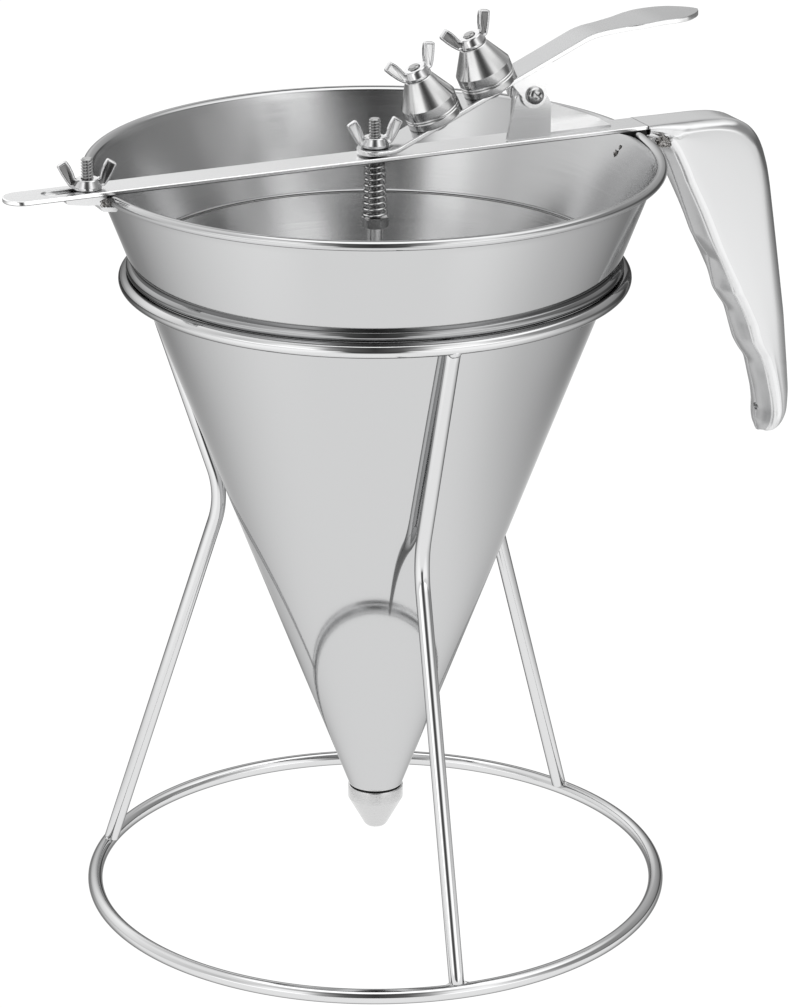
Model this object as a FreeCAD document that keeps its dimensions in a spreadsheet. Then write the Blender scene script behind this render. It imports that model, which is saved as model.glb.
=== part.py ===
import FreeCAD, Part
import Sketcher
import math
import os
from FreeCAD import Vector, Placement, Rotation

# Countertop pancake batter dispenser: a hand-held steel funnel with a spring
# valve, a thumb lever and a hollow grip, standing in a three-legged wire stand.
# Frame: millimetres, +Z up, origin at the centre of the stand's base ring on
# the surface it stands on, +X along the carrying bar towards the grip.

doc = FreeCAD.newDocument("batter_dispenser")
sheet = doc.addObject("Spreadsheet::Sheet", "Dims")

ROWS = [
    # wire stand
    ("wire_r", 2.5, "radius of the stand wire"),
    ("base_r", 96.6, "base ring, centreline radius"),
    ("top_r", 81.63, "top ring, centreline radius"),
    ("top_z", 217.8, "top ring, centreline height"),
    ("leg_foot_r", 95.3, "leg foot, distance from the axis"),
    ("leg_foot_z", 4.4, "leg foot, height of the cut end"),
    ("leg_head_r", 80.0, "leg head, distance from the axis"),
    ("leg_head_z", 215.6, "leg head, height"),
    ("leg_lower_lean", 107.9, "direction of the lower run, degrees from +r"),
    ("leg_upper_lean", 71.2, "direction of the upper run, degrees from +r"),
    ("leg_bend_r", 30.0, "inside bend of the leg, centreline radius"),
    ("leg_angle_front", -98.2, "place of the front leg about the axis"),
    ("leg_angle_rear", 21.8, "place of the rear right leg"),
    ("leg_angle_left", 141.8, "place of the rear left leg"),
    # funnel
    ("tip_r", 9.25, "cone, outer radius at its lower end"),
    ("tip_z", 36.5, "cone, lower end"),
    ("cone_r", 79.0, "cone, outer radius at its upper end"),
    ("cone_z", 221.0, "cone, upper end"),
    ("cone_wall", 0.8, "sheet of the cone"),
    ("seam_r", 79.6, "rolled seam, centre radius"),
    ("seam_z", 221.95, "rolled seam, centre height"),
    ("seam_bead", 2.0, "rolled seam, radius of its section"),
    ("band_low_r", 79.7, "upper band, outer radius at the seam"),
    ("band_low_z", 222.8, "upper band, lower edge"),
    ("band_high_r", 92.05, "upper band, outer radius at the rim"),
    ("band_high_z", 255.5, "upper band, upper edge"),
    ("band_wall", 0.9, "sheet of the upper band"),
    ("rim_r", 93.4, "rolled rim, centre radius"),
    ("rim_z", 255.15, "rolled rim, centre height"),
    ("rim_bead", 1.6, "rolled rim, radius of its section"),
    # spout and nozzle
    ("collar_bore", 4.5, "spout collar, bore radius"),
    ("collar_r", 7.0, "spout collar, outer radius"),
    ("collar_z", 28.4, "spout collar, lower end"),
    ("flange_r", 9.1, "spout collar, flange radius"),
    ("flange_z", 35.95, "spout collar, underside of the flange"),
    ("gasket_z", 35.4, "gasket, underside"),
    ("gasket_r", 8.8, "gasket, outer radius"),
    ("nozzle_r", 9.4, "nozzle, outer radius"),
    ("nozzle_top", 35.3, "mounted nozzle, upper face"),
    ("nozzle_cyl", 4.6, "mounted nozzle, height of its straight part"),
    ("nozzle_len", 15.1, "mounted nozzle, whole height"),
    ("nozzle_tip_r", 3.9, "nozzle, outer radius at the outlet"),
    ("nozzle_bore", 7.1, "nozzle, radius of the bore over the collar"),
    ("outlet_r", 2.5, "nozzle, outlet radius"),
    ("seat_z", 24.2, "valve seat, lower edge"),
    ("seat_slope", 0.6, "valve seat, radius gained per height"),
    ("seat_gap", 0.12, "valve on its seat, drawn gap"),
    ("spare_r", 9.3, "spare nozzle, outer radius"),
    ("spare_cyl", 7.0, "spare nozzle, height of its straight part"),
    ("spare_len", 15.6, "spare nozzle, whole height"),
    ("spare_tip_r", 4.7, "spare nozzle, outer radius at the outlet"),
    ("spare_bore", 3.3, "spare nozzle, outlet radius"),
    # carrying bar
    ("bar_w", 12.0, "bar, width"),
    ("bar_z", 256.8, "bar, underside"),
    ("bar_t", 1.5, "bar, thickness"),
    ("bar_left", -127.6, "bar, free end"),
    ("bar_right", 97.0, "bar, end at the grip"),
    ("slot_r", 2.4, "adjusting slot, half width"),
    ("slot_out", -112.4, "adjusting slot, centre of the outer end"),
    ("stud_x", -99.5, "clamp stud, place along the bar"),
    ("stud_top", 268.3, "clamp stud, top"),
    ("screw_r", 2.0, "M4 thread radius"),
    ("rod_hole_r", 2.06, "bar, guide hole of the valve rod"),
    # valve rod
    ("rod_r", 2.5, "valve rod, radius of the plain part"),
    ("rod_step", 233.8, "valve rod, shoulder under the spring nut"),
    ("rod_top", 270.2, "valve rod, top"),
    ("rod_low", 30.6, "valve rod, lower end in the valve"),
    ("valve_r", 3.2, "valve, radius"),
    ("nut_af", 8.0, "hex nut, across flats"),
    ("nut_len", 3.4, "hex nut, height"),
    ("coil_wire", 0.45, "spring wire, radius"),
    ("coil_top_r", 2.8, "spring, mean radius under the bar"),
    ("coil_low_r", 3.75, "spring, mean radius on the nut"),
    ("coil_pitch", 2.1, "spring, pitch"),
    # thumb lever
    ("lever_w", 12.0, "lever, width"),
    ("lever_t", 1.8, "lever, thickness"),
    ("lever_z", 260.6, "lever, top of the level end"),
    ("lever_bend", 4.6, "lever, start of the slope"),
    ("lever_angle", 23.8, "lever, slope in degrees"),
    ("lever_knee", 75.2, "lever, end of the slope"),
    ("pad_x", 99.5, "thumb pad, middle"),
    ("pad_rise", 2.9, "thumb pad, rise from the knee"),
    ("pad_w", 18.0, "thumb pad, width"),
    ("pad_end", 117.6, "thumb pad, end"),
    ("hinge_x", 54.6, "lever hinge, place along the bar"),
    ("hinge_z", 273.4, "lever hinge, height"),
    ("hinge_r", 1.5, "hinge screw, M3 radius"),
    ("hinge_hole", 1.56, "lever ears, hole radius"),
    ("ear_t", 1.0, "lever ears, sheet"),
    ("ear_in", 5.1, "lever ears, inner face from the middle"),
    ("ear_r", 4.5, "lever ears, radius about the hinge"),
    ("ear_left", 46.7, "lever ears, left corner"),
    ("ear_right", 61.8, "lever ears, right corner"),
    ("brk_out", 4.8, "hinge bracket, half width"),
    ("brk_t", 1.4, "hinge bracket, sheet"),
    ("brk_left", 45.4, "hinge bracket, left edge"),
    ("brk_right", 61.3, "hinge bracket, right edge of the near wall"),
    ("brk_tail", 84.0, "hinge bracket, end of the far wall"),
    ("store_one", 21.6, "first spare nozzle, place along the bar"),
    ("store_two", 41.3, "second spare nozzle, place along the bar"),
    ("head_r", 4.4, "storage screw, head radius"),
    ("head_t", 2.0, "storage screw, head height"),
    # wing nut
    ("wing_low_r", 4.6, "wing nut, boss radius at the base"),
    ("wing_high_r", 3.6, "wing nut, boss radius at the top"),
    ("wing_boss", 3.4, "wing nut, boss height"),
    ("wing_span", 9.7, "wing nut, half span"),
    ("wing_top", 9.6, "wing nut, height of the wings"),
    ("wing_t", 2.0, "wing nut, thickness of a wing"),
    ("wing_bore", 2.05, "wing nut, bore radius"),
    ("rest_gap", 0.15, "running gap under the rod's wing nut"),
    # grip
    ("grip_w", 19.0, "grip, width"),
    ("grip_wall", 1.2, "grip, sheet"),
    ("grip_left", 97.1, "grip, end at the bar"),
    ("grip_foot", 142.0, "grip, lower end"),
]
VAL = {}
for i, (alias, value, note) in enumerate(ROWS):
    r = i + 1
    sheet.set("A%d" % r, note)
    sheet.set("B%d" % r, str(value))
    sheet.setAlias("B%d" % r, alias)
    VAL[alias] = float(value)
doc.recompute()


class Q:
    """A size: the sheet expression and its present value, side by side."""

    def __init__(self, text, value):
        self.t = text
        self.v = float(value)

    def __add__(self, o):
        o = q(o)
        return Q("(%s + %s)" % (self.t, o.t), self.v + o.v)

    __radd__ = __add__

    def __sub__(self, o):
        o = q(o)
        return Q("(%s - %s)" % (self.t, o.t), self.v - o.v)

    def __rsub__(self, o):
        return q(o) - self

    def __mul__(self, o):
        o = q(o)
        return Q("(%s * %s)" % (self.t, o.t), self.v * o.v)

    __rmul__ = __mul__

    def __truediv__(self, o):
        o = q(o)
        return Q("(%s / %s)" % (self.t, o.t), self.v / o.v)

    def __neg__(self):
        return Q("(0 - %s)" % self.t, -self.v)


def q(o):
    if isinstance(o, Q):
        return o
    s = "%.6f" % o
    return Q("(0 - %s)" % s[1:] if o < 0 else s, o)


def D(alias):
    return Q("Dims." + alias, VAL[alias])


def tan(a):
    return Q("tan(%s)" % a.t, math.tan(math.radians(a.v)))


def cos(a):
    return Q("cos(%s)" % a.t, math.cos(math.radians(a.v)))


def sin(a):
    return Q("sin(%s)" % a.t, math.sin(math.radians(a.v)))


def bind(obj, prop, size):
    size = q(size)
    obj.setExpression(prop, size.t)


# ---------------------------------------------------------------- helpers

def body(name):
    b = doc.addObject("PartDesign::Body", name)
    b.Label = name
    return b


def sketch(b, role, name):
    sk = b.newObject("Sketcher::SketchObject", name)
    plane = [f for f in b.Origin.OriginFeatures if f.Role == role][0]
    sk.AttachmentSupport = [(plane, "")]
    sk.MapMode = "FlatFace"
    return sk


def pin(sk, geo, pos, x, y):
    """Hold a sketch point at sheet coordinates."""
    x, y = q(x), q(y)
    for kind, val in (("DistanceX", x), ("DistanceY", y)):
        if abs(val.v) < 1e-9 and "Dims" not in val.t:
            sk.addConstraint(Sketcher.Constraint("PointOnObject", geo, pos, -2 if kind == "DistanceX" else -1))
            continue
        n = sk.addConstraint(Sketcher.Constraint(kind, -1, 1, geo, pos, val.v))
        tag = "%s_%d_%d" % ("px" if kind == "DistanceX" else "py", geo, pos)
        sk.renameConstraint(n, tag)
        if "Dims" in val.t:
            sk.setExpression("Constraints." + tag, val.t)


def poly(sk, pts):
    """Closed outline through the given points."""
    pts = [(q(a), q(b)) for a, b in pts]
    n = len(pts)
    g0 = sk.GeometryCount
    for i in range(n):
        a, b = pts[i], pts[(i + 1) % n]
        sk.addGeometry(Part.LineSegment(Vector(a[0].v, a[1].v, 0), Vector(b[0].v, b[1].v, 0)), False)
    for i in range(n):
        sk.addConstraint(Sketcher.Constraint("Coincident", g0 + i, 2, g0 + (i + 1) % n, 1))
    for i in range(n):
        pin(sk, g0 + i, 1, pts[i][0], pts[i][1])


def disc(sk, x, y, r):
    x, y, r = q(x), q(y), q(r)
    g = sk.addGeometry(Part.Circle(Vector(x.v, y.v, 0), Vector(0, 0, 1), r.v), False)
    pin(sk, g, 3, x, y)
    n = sk.addConstraint(Sketcher.Constraint("Radius", g, r.v))
    sk.renameConstraint(n, "rad_%d" % g)
    if "Dims" in r.t:
        sk.setExpression("Constraints.rad_%d" % g, r.t)


def revolve(b, sk, name, cut=False):
    f = b.newObject("PartDesign::Groove" if cut else "PartDesign::Revolution", name)
    f.Profile = sk
    f.ReferenceAxis = (sk, ["V_Axis"])
    f.Angle = 360.0
    return f


def pad(b, sk, name, length, cut=False):
    f = b.newObject("PartDesign::Pocket" if cut else "PartDesign::Pad", name)
    f.Profile = sk
    bind(f, "Length", length)
    try:
        f.SideType = "Symmetric"
    except Exception:
        f.Midplane = True
    return f


def at(obj, x, y, z):
    for k, s in (("x", x), ("y", y), ("z", z)):
        s = q(s)
        setattr(obj.Placement.Base, k, s.v)
        if "Dims" in s.t:
            bind(obj, "Placement.Base." + k, s)
    base = Vector(q(x).v, q(y).v, q(z).v)
    obj.Placement = Placement(base, obj.Placement.Rotation)


def cyl(name, x, y, z, r, h, rot=None):
    c = doc.addObject("Part::Cylinder", name)
    bind(c, "Radius", r)
    bind(c, "Height", h)
    if rot is not None:
        c.Placement = Placement(Vector(0, 0, 0), rot)
    at(c, x, y, z)
    return c


def box(name, x, y, z, lx, ly, lz):
    c = doc.addObject("Part::Box", name)
    bind(c, "Length", lx)
    bind(c, "Width", ly)
    bind(c, "Height", lz)
    at(c, x, y, z)
    return c


def torus(name, R, r, z):
    c = doc.addObject("Part::Torus", name)
    bind(c, "Radius1", R)
    bind(c, "Radius2", r)
    at(c, 0, 0, z)
    return c


def fuse(name, *objs):
    f = doc.addObject("Part::MultiFuse", name)
    f.Shapes = list(objs)
    return f


def cut(name, a, b):
    c = doc.addObject("Part::Cut", name)
    c.Base = a
    c.Tool = b
    return c


def common(name, a, b):
    c = doc.addObject("Part::Common", name)
    c.Base = a
    c.Tool = b
    return c


def spun(name, *outlines):
    """A turned piece: outlines in radius and height, spun about its axis."""
    b = body(name)
    for i, pts in enumerate(outlines):
        sk = sketch(b, "XZ_Plane", name + "_outline%d" % i)
        poly(sk, pts)
        revolve(b, sk, name + "_turn%d" % i)
    return b


OUT = {}


def node(name, obj):
    obj.Label = name
    OUT[name] = obj
    return obj


# ---------------------------------------------------------------- stand

wire = D("wire_r")
node("stand_base_ring", torus("base_ring", D("base_r"), wire, wire))
node("stand_top_ring", torus("top_ring", D("top_r"), wire, D("top_z")))


def leg(name, alias, twist):
    """One bent wire leg, welded under the top ring and on the base ring."""
    b = body(name + "_wire")
    path = sketch(b, "XZ_Plane", name + "_path")
    low, up = math.radians(VAL["leg_lower_lean"]), math.radians(VAL["leg_upper_lean"])
    fx, fz = VAL["leg_foot_r"], VAL["leg_foot_z"]
    hx, hz = VAL["leg_head_r"], VAL["leg_head_z"]
    # corner where the two straight runs would meet
    det = math.cos(low) * math.sin(up) - math.sin(low) * math.cos(up)
    s = ((hx - fx) * math.sin(up) - (hz - fz) * math.cos(up)) / det
    cx, cz = fx + s * math.cos(low), fz + s * math.sin(low)
    R = VAL["leg_bend_r"]
    t = R * math.tan((low - up) / 2.0)
    ax, az = cx - t * math.cos(low), cz - t * math.sin(low)
    bx, bz = cx + t * math.cos(up), cz + t * math.sin(up)
    ox, oz = ax + R * math.sin(low), az - R * math.cos(low)
    path.addGeometry(Part.LineSegment(Vector(fx, fz, 0), Vector(ax, az, 0)), False)
    turn = Part.Circle(Vector(ox, oz, 0), Vector(0, 0, 1), R)
    path.addGeometry(Part.ArcOfCircle(turn, up + math.pi / 2, low + math.pi / 2), False)
    path.addGeometry(Part.LineSegment(Vector(bx, bz, 0), Vector(hx, hz, 0)), False)
    path.addConstraint(Sketcher.Constraint("Tangent", 0, 2, 1, 2))
    path.addConstraint(Sketcher.Constraint("Tangent", 1, 1, 2, 1))
    pin(path, 0, 1, D("leg_foot_r"), D("leg_foot_z"))
    pin(path, 2, 2, D("leg_head_r"), D("leg_head_z"))
    n = path.addConstraint(Sketcher.Constraint("Radius", 1, R))
    path.renameConstraint(n, "bend")
    path.setExpression("Constraints.bend", "Dims.leg_bend_r")
    n = path.addConstraint(Sketcher.Constraint("Angle", 0, low))
    path.renameConstraint(n, "lower")
    path.setExpression("Constraints.lower", "Dims.leg_lower_lean")
    n = path.addConstraint(Sketcher.Constraint("Angle", 2, up))
    path.renameConstraint(n, "upper")
    path.setExpression("Constraints.upper", "Dims.leg_upper_lean")
    sec = sketch(b, "XY_Plane", name + "_section")
    # the section stands square to the lower run at the foot
    sec.AttachmentOffset = Placement(Vector(fx, 0, fz), Rotation(Vector(0, 1, 0), VAL["leg_lower_lean"] * -1 + 90))
    bind(sec, "AttachmentOffset.Base.x", D("leg_foot_r"))
    bind(sec, "AttachmentOffset.Base.z", D("leg_foot_z"))
    disc(sec, 0, 0, wire)
    doc.recompute()
    p = b.newObject("PartDesign::AdditivePipe", name + "_pipe")
    p.Profile = sec
    p.Spine = (path, ["Edge1", "Edge2", "Edge3"])
    p.Mode = "Standard"
    # place about the axis, with the slight lean the hand welding left
    place = Placement(Vector(0, 0, 0), Rotation(Vector(0, 0, 1), VAL[alias]))
    line = Vector(math.cos(low), 0, math.sin(low))
    swing = Placement(Vector(0, 0, 0), Rotation(line, twist), Vector(cx, 0, cz))
    b.Placement = place.multiply(swing)
    doc.recompute()
    rings = fuse(name + "_rings", torus(name + "_ra", D("base_r"), wire, wire), torus(name + "_rb", D("top_r"), wire, D("top_z")))
    return node(name, cut(name, b, rings))


leg("stand_leg_front", "leg_angle_front", 2.6)
leg("stand_leg_rear", "leg_angle_rear", 0.0)
leg("stand_leg_left", "leg_angle_left", 0.0)

# ---------------------------------------------------------------- funnel

cw = D("cone_wall")
b = spun("funnel_cone",
         [(D("tip_r") - cw, D("tip_z")), (D("tip_r"), D("tip_z")), (D("cone_r"), D("cone_z")), (D("cone_r") - cw, D("cone_z"))])
sk = sketch(b, "XZ_Plane", "seam_section")
disc(sk, D("seam_r"), D("seam_z"), D("seam_bead"))
revolve(b, sk, "seam_roll")
node("funnel_cone", b)

bw = D("band_wall")
b = spun("funnel_band",
         [(D("band_low_r") - bw, D("band_low_z")), (D("band_low_r"), D("band_low_z")),
          (D("band_high_r"), D("band_high_z")), (D("band_high_r") - bw, D("band_high_z"))])
sk = sketch(b, "XZ_Plane", "rim_section")
disc(sk, D("rim_r"), D("rim_z"), D("rim_bead"))
revolve(b, sk, "rim_roll")
sk = sketch(b, "XZ_Plane", "seam_room")
disc(sk, D("seam_r"), D("seam_z"), D("seam_bead") + 0.01)
revolve(b, sk, "seam_cut", cut=True)
node("funnel_band", b)

node("spout_collar", spun("spout_collar",
     [(D("collar_bore"), D("collar_z")), (D("collar_r"), D("collar_z")), (D("collar_r"), D("flange_z")),
      (D("flange_r"), D("flange_z")), (D("flange_r"), D("tip_z") - 0.02), (D("collar_bore"), D("tip_z") - 0.02)]))

node("nozzle_gasket", spun("nozzle_gasket",
     [(D("collar_r") + 0.15, D("gasket_z")), (D("gasket_r"), D("gasket_z")),
      (D("gasket_r"), D("flange_z") - 0.02), (D("collar_r") + 0.15, D("flange_z") - 0.02)]))

# mounted nozzle: straight collar, taper, outlet, and the valve seat inside
nb = D("nozzle_top") - D("nozzle_len")
node("nozzle", spun("nozzle",
     [(D("outlet_r"), nb), (D("nozzle_tip_r") - 0.6, nb), (D("nozzle_tip_r"), nb + 0.6),
      (D("nozzle_r"), D("nozzle_top") - D("nozzle_cyl")), (D("nozzle_r"), D("nozzle_top")),
      (D("nozzle_bore"), D("nozzle_top")), (D("nozzle_bore"), D("collar_z") - 0.4),
      (D("outlet_r") + D("seat_slope") * (D("collar_z") - 0.4 - D("seat_z")), D("collar_z") - 0.4),
      (D("outlet_r"), D("seat_z"))]))

# ---------------------------------------------------------------- bar

bar = body("bar_strip")
sk = sketch(bar, "XY_Plane", "bar_plan")
hw = D("bar_w") / 2
poly(sk, [(D("bar_left"), -hw), (D("bar_right"), -hw), (D("bar_right"), hw), (D("bar_left"), hw)])
f = bar.newObject("PartDesign::Pad", "bar_pad")
f.Profile = sk
bind(f, "Length", D("bar_t"))
doc.recompute()
names = []
for i, e in enumerate(f.Shape.Edges):
    c = e.CenterOfMass
    if abs(c.x - VAL["bar_left"]) < 1e-3 and abs(abs(c.y) - VAL["bar_w"] / 2) < 1e-3:
        names.append("Edge%d" % (i + 1))
fl = bar.newObject("PartDesign::Fillet", "bar_round")
fl.Base = (f, names)
bind(fl, "Radius", D("bar_w") / 2 - 0.05)
at(bar, 0, 0, D("bar_z"))
z0, hh = D("bar_z") - 1, D("bar_t") + 2
slot_in = D("stud_x") + 0.2
room = fuse("bar_room",
            box("slot_box", D("slot_out"), -D("slot_r"), z0, slot_in - D("slot_out"), D("slot_r") * 2, hh),
            cyl("slot_a", D("slot_out"), 0, z0, D("slot_r"), hh),
            cyl("slot_b", slot_in, 0, z0, D("slot_r"), hh),
            cyl("rod_guide", 0, 0, z0, D("rod_hole_r"), hh))
node("handle_bar", cut("handle_bar", bar, room))

# ---------------------------------------------------------------- grip
# side outline of the folded sheet grip: level top, long outer face, rounded
# foot, and an inner face with shallow finger waves

bt = D("bar_z") + D("bar_t")
gl, gf = D("grip_left"), D("grip_foot")
OUTER = [(118.5, 0.0), (126.0, -0.4), (131.5, -1.7), (135.8, -4.2), (138.9, -7.8), (141.0, -12.3), (142.9, -18.5),
         (144.1, -24.5), (146.1, -37.3), (148.7, -54.6), (151.3, -72.2), (153.1, -89.7), (153.9, -100.0),
         (153.4, -107.3), (151.4, -111.6), (148.2, -114.8)]
INNER = [(145.4, 0.6), (144.6, 4.5), (144.8, 9.5), (143.6, 15.5), (142.0, 21.5), (140.6, 27.5), (137.8, 31.2),
         (135.6, 35.0), (133.7, 41.0), (132.1, 47.0), (129.4, 50.6), (127.0, 54.3), (125.6, 60.5), (124.2, 66.5),
         (121.6, 69.8), (118.6, 74.2), (115.6, 82.0), (112.2, 91.0), (108.8, 99.5), (105.6, 107.0), (103.2, 112.0)]


def grip_outline(inset):
    pts = [(gl + inset, bt - inset)]
    o = [(q(x), bt + dz) for x, dz in OUTER]
    n = [(q(x), gf + dz) for x, dz in INNER]
    for x, z in o:
        pts.append((x - inset, z - inset * 0.6))
    for x, z in n:
        pts.append((x + inset, z + inset * 0.5))
    if inset.v == 0.0:
        # tooth that reaches under the rim to the keeper plate
        pts += [(q(100.2), bt - 5.6), (q(96.4), bt - 7.6), (q(95.2), bt - 7.0), (q(95.2), bt - 5.9), (q(97.1), bt - 4.2)]
    else:
        pts.append((D("grip_left") + inset, bt - 4.0))
    return pts


g = body("grip_block")
sk = sketch(g, "XZ_Plane", "grip_side")
poly(sk, grip_outline(q(0.0)))
pad(g, sk, "grip_pad", D("grip_w"))
# the top narrows to the width of the bar
gv = body("grip_void")
sk = sketch(gv, "XZ_Plane", "grip_side_in")
poly(sk, grip_outline(D("grip_wall")))
pad(gv, sk, "grip_void_pad", D("grip_w") - D("grip_wall") * 2)
weep = cyl("grip_weep", 140.0, 0, gf + 9.5, 1.4, 8.0, Rotation(Vector(0, 1, 0), 90))
GRIP = (g, gv, weep)

# ---------------------------------------------------------------- rim clamp

hook = body("hook_plate")
sk = sketch(hook, "XZ_Plane", "hook_side")
zt = D("bar_z") - 0.05
poly(sk, [(-108.3, zt), (-108.3, zt - 1.5), (-96.8, zt - 1.5), (-96.8, 251.6), (-91.4, 251.0),
          (-91.4, 252.5), (-95.3, 253.1), (-95.3, zt)])
pad(hook, sk, "hook_pad", 10.0)
node("rim_clamp_hook", cut("rim_clamp_hook", hook, cyl("hook_hole", D("stud_x"), 0, 250.0, D("screw_r") + 0.03, 9.0)))

st = spun("clamp_stud",
          [(0, D("bar_z") - 3.3), (2.0, D("bar_z") - 3.3), (2.6, D("bar_z") - 2.7), (2.6, D("bar_z") - 1.57),
           (D("screw_r"), D("bar_z") - 1.57), (D("screw_r"), D("stud_top") - 0.5), (D("screw_r") - 0.5, D("stud_top")),
           (0, D("stud_top"))])
at(st, D("stud_x"), 0, 0)
node("clamp_stud", st)

# small plate spot-welded to the band under the rim, under the grip's end
kp = body("rim_keeper")
sk = sketch(kp, "XZ_Plane", "keeper_side")
kx = D("band_high_r") - 0.4
poly(sk, [(kx - 0.65, 252.6), (kx - 5.65, 239.4), (kx - 4.55, 239.2), (kx + 0.25, 251.4), (kx + 3.2, 251.4), (kx + 3.2, 252.6)])
pad(kp, sk, "keeper_pad", 9.0)
node("rim_keeper", kp)

# ---------------------------------------------------------------- lever hinge

hx, hz = D("hinge_x"), D("hinge_z")
bo, btk = D("brk_out"), D("brk_t")
bb = body("bracket_foot")
sk = sketch(bb, "XZ_Plane", "foot_side")
poly(sk, [(D("brk_left") + 5.4, bt + 0.02), (D("brk_tail"), bt + 0.02), (D("brk_tail"), bt + btk), (D("brk_left") + 5.4, bt + btk)])
pad(bb, sk, "foot_pad", bo * 2)
near = body("bracket_near")
sk = sketch(near, "XZ_Plane", "near_side")
poly(sk, [(D("brk_left"), bt + 0.1), (D("brk_right"), bt + 0.1), (D("brk_right"), hz - 3.4), (hx + 3.4, hz + 2.2), (hx + 1.6, hz + 3.8),
          (hx - 1.6, hz + 3.8), (hx - 3.6, hz + 2.2), (hx - 5.9, hz - 0.6)])
pad(near, sk, "near_pad", btk)
at(near, 0, -(bo - btk / 2), 0)
far = body("bracket_far")
sk = sketch(far, "XZ_Plane", "far_side")
poly(sk, [(D("brk_left") + 5.4, bt + 0.1), (D("brk_tail"), bt + 0.1), (D("brk_tail"), bt + btk + 0.4), (D("brk_right") + 3.0, hz - 5.6),
          (hx + 3.4, hz + 2.2), (hx + 1.6, hz + 3.8), (hx - 1.2, hz + 3.6), (hx - 2.7, hz + 2.0)])
pad(far, sk, "far_pad", btk)
at(far, 0, bo - btk / 2, 0)
across = Rotation(Vector(1, 0, 0), 90)
node("hinge_bracket", cut("hinge_bracket", fuse("bracket_all", bb, near, far),
     cyl("bracket_hole", hx, 8, hz, D("hinge_r") + 0.02, 16, across)))

# hinge screw: pan head at the front, drawn along its own axis then laid across
hs = spun("screw_blank",
          [(0, -8.0), (D("hinge_r"), -8.0), (D("hinge_r"), 6.25), (2.95, 6.25), (2.95, 7.35), (2.2, 8.25), (0, 8.55)])
hs.Placement = Placement(Vector(VAL["hinge_x"], 0, VAL["hinge_z"]), across)
bind(hs, "Placement.Base.x", hx)
bind(hs, "Placement.Base.z", hz)
cross = fuse("cross_recess", box("recess_a", hx - 1.7, -9.0, hz - 0.35, 3.4, 1.7, 0.7),
             box("recess_b", hx - 0.35, -9.0, hz - 1.7, 0.7, 1.7, 3.4))
node("hinge_screw", cut("hinge_screw", hs, cross))


def hexnut(name, bore):
    b = body(name)
    sk = sketch(b, "XY_Plane", name + "_plan")
    rad = D("nut_af") / 2 if name == "spring_nut_blank" else q(2.75)
    c = [(rad * (1 / math.cos(math.radians(30))) * math.cos(math.radians(60 * k)),
          rad * (1 / math.cos(math.radians(30))) * math.sin(math.radians(60 * k))) for k in range(6)]
    poly(sk, c)
    disc(sk, 0, 0, bore)
    f = b.newObject("PartDesign::Pad", name + "_pad")
    f.Profile = sk
    bind(f, "Length", D("nut_len") if name == "spring_nut_blank" else q(1.6))
    return b


hn = hexnut("hinge_nut_blank", D("hinge_r") + 0.01)
hn.Placement = Placement(Vector(VAL["hinge_x"], 7.85, VAL["hinge_z"]), across)
bind(hn, "Placement.Base.x", hx)
bind(hn, "Placement.Base.z", hz)
node("hinge_nut", hn)

# ---------------------------------------------------------------- lever

la = D("lever_angle")
lz, lb, lt = D("lever_z"), D("lever_bend"), D("lever_t")
kz = lz + (D("lever_knee") - lb) * tan(la)
dz = lt / cos(la)
side = body("lever_side")
sk = sketch(side, "XZ_Plane", "lever_profile")
end = -D("lever_w") / 2
poly(sk, [(end - 0.5, lz), (lb, lz), (D("lever_knee"), kz), (D("pad_x"), kz + D("pad_rise")), (D("pad_end") + 1, kz + D("pad_rise") + 0.2),
          (D("pad_end") + 1, kz + D("pad_rise") + 0.2 - lt), (D("pad_x"), kz + D("pad_rise") - lt),
          (D("lever_knee"), kz - dz), (lb + (dz - lt) / tan(la), lz - lt), (end - 0.5, lz - lt)])
pad(side, sk, "lever_side_pad", 24.0)
plan = body("lever_plan")
sk = sketch(plan, "XY_Plane", "lever_outline")
lw, pw = D("lever_w") / 2, D("pad_w") / 2
pe = D("pad_end")
right = [(end + 6, lw), (80.0, lw), (88.0, lw + 0.9), (94.0, pw - 0.5), (99.0, pw), (105.0, pw), (109.5, pw - 0.8), (113.2, pw - 3.0),
         (115.8, pw - 5.4), (pe - 0.4, pw - 7.4), (pe, 0.8)]
outline = [(x, y) for x, y in right] + [(x, -q(y)) for x, y in reversed(right)]
arc = [(end + 6 - 6 * math.cos(math.radians(t)), q(-6 * math.sin(math.radians(t)))) for t in (75, 60, 45, 30, 15, 0, -15, -30, -45, -60, -75)]
poly(sk, outline + arc)
f = plan.newObject("PartDesign::Pad", "lever_plan_pad")
f.Profile = sk
f.Length = 60.0
at(plan, 0, 0, 250)
blank = common("lever_blank", side, plan)
zz = D("lever_z") - D("lever_t") - 1
rod_slot = fuse("lever_slot",
                box("lever_slot_box", -0.2, -2.3, zz, 1.9, 4.6, D("lever_t") + 2),
                cyl("lever_slot_a", -0.2, 0, zz, 2.3, D("lever_t") + 2), cyl("lever_slot_b", 1.7, 0, zz, 2.3, D("lever_t") + 2))


def on_lever(x):
    """Point of the lever's sloping top above a place along the bar."""
    return x, lz + (x - lb) * tan(la)


up_slope = Rotation(Vector(0, -1, 0), VAL["lever_angle"])


def sloped(obj, x):
    px, pz = on_lever(x)
    obj.Placement = Placement(Vector(px.v, 0, pz.v), up_slope)
    bind(obj, "Placement.Base.x", px)
    bind(obj, "Placement.Base.z", pz)
    bind(obj, "Placement.Rotation.Angle", la)
    return obj


holes = []
for k, alias in ((1, "store_one"), (2, "store_two")):
    c = spun("lever_drill_%d" % k, [(0, -4.0), (D("screw_r") + 0.02, -4.0), (D("screw_r") + 0.02, 2.0), (0, 2.0)])
    holes.append(sloped(c, D(alias)))
node("lever_arm", cut("lever_arm", blank, fuse("lever_holes", rod_slot, *holes)))

# hinge ears: a small channel welded under the lever, straddling the bracket
ein, et = D("ear_in"), D("ear_t")


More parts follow.
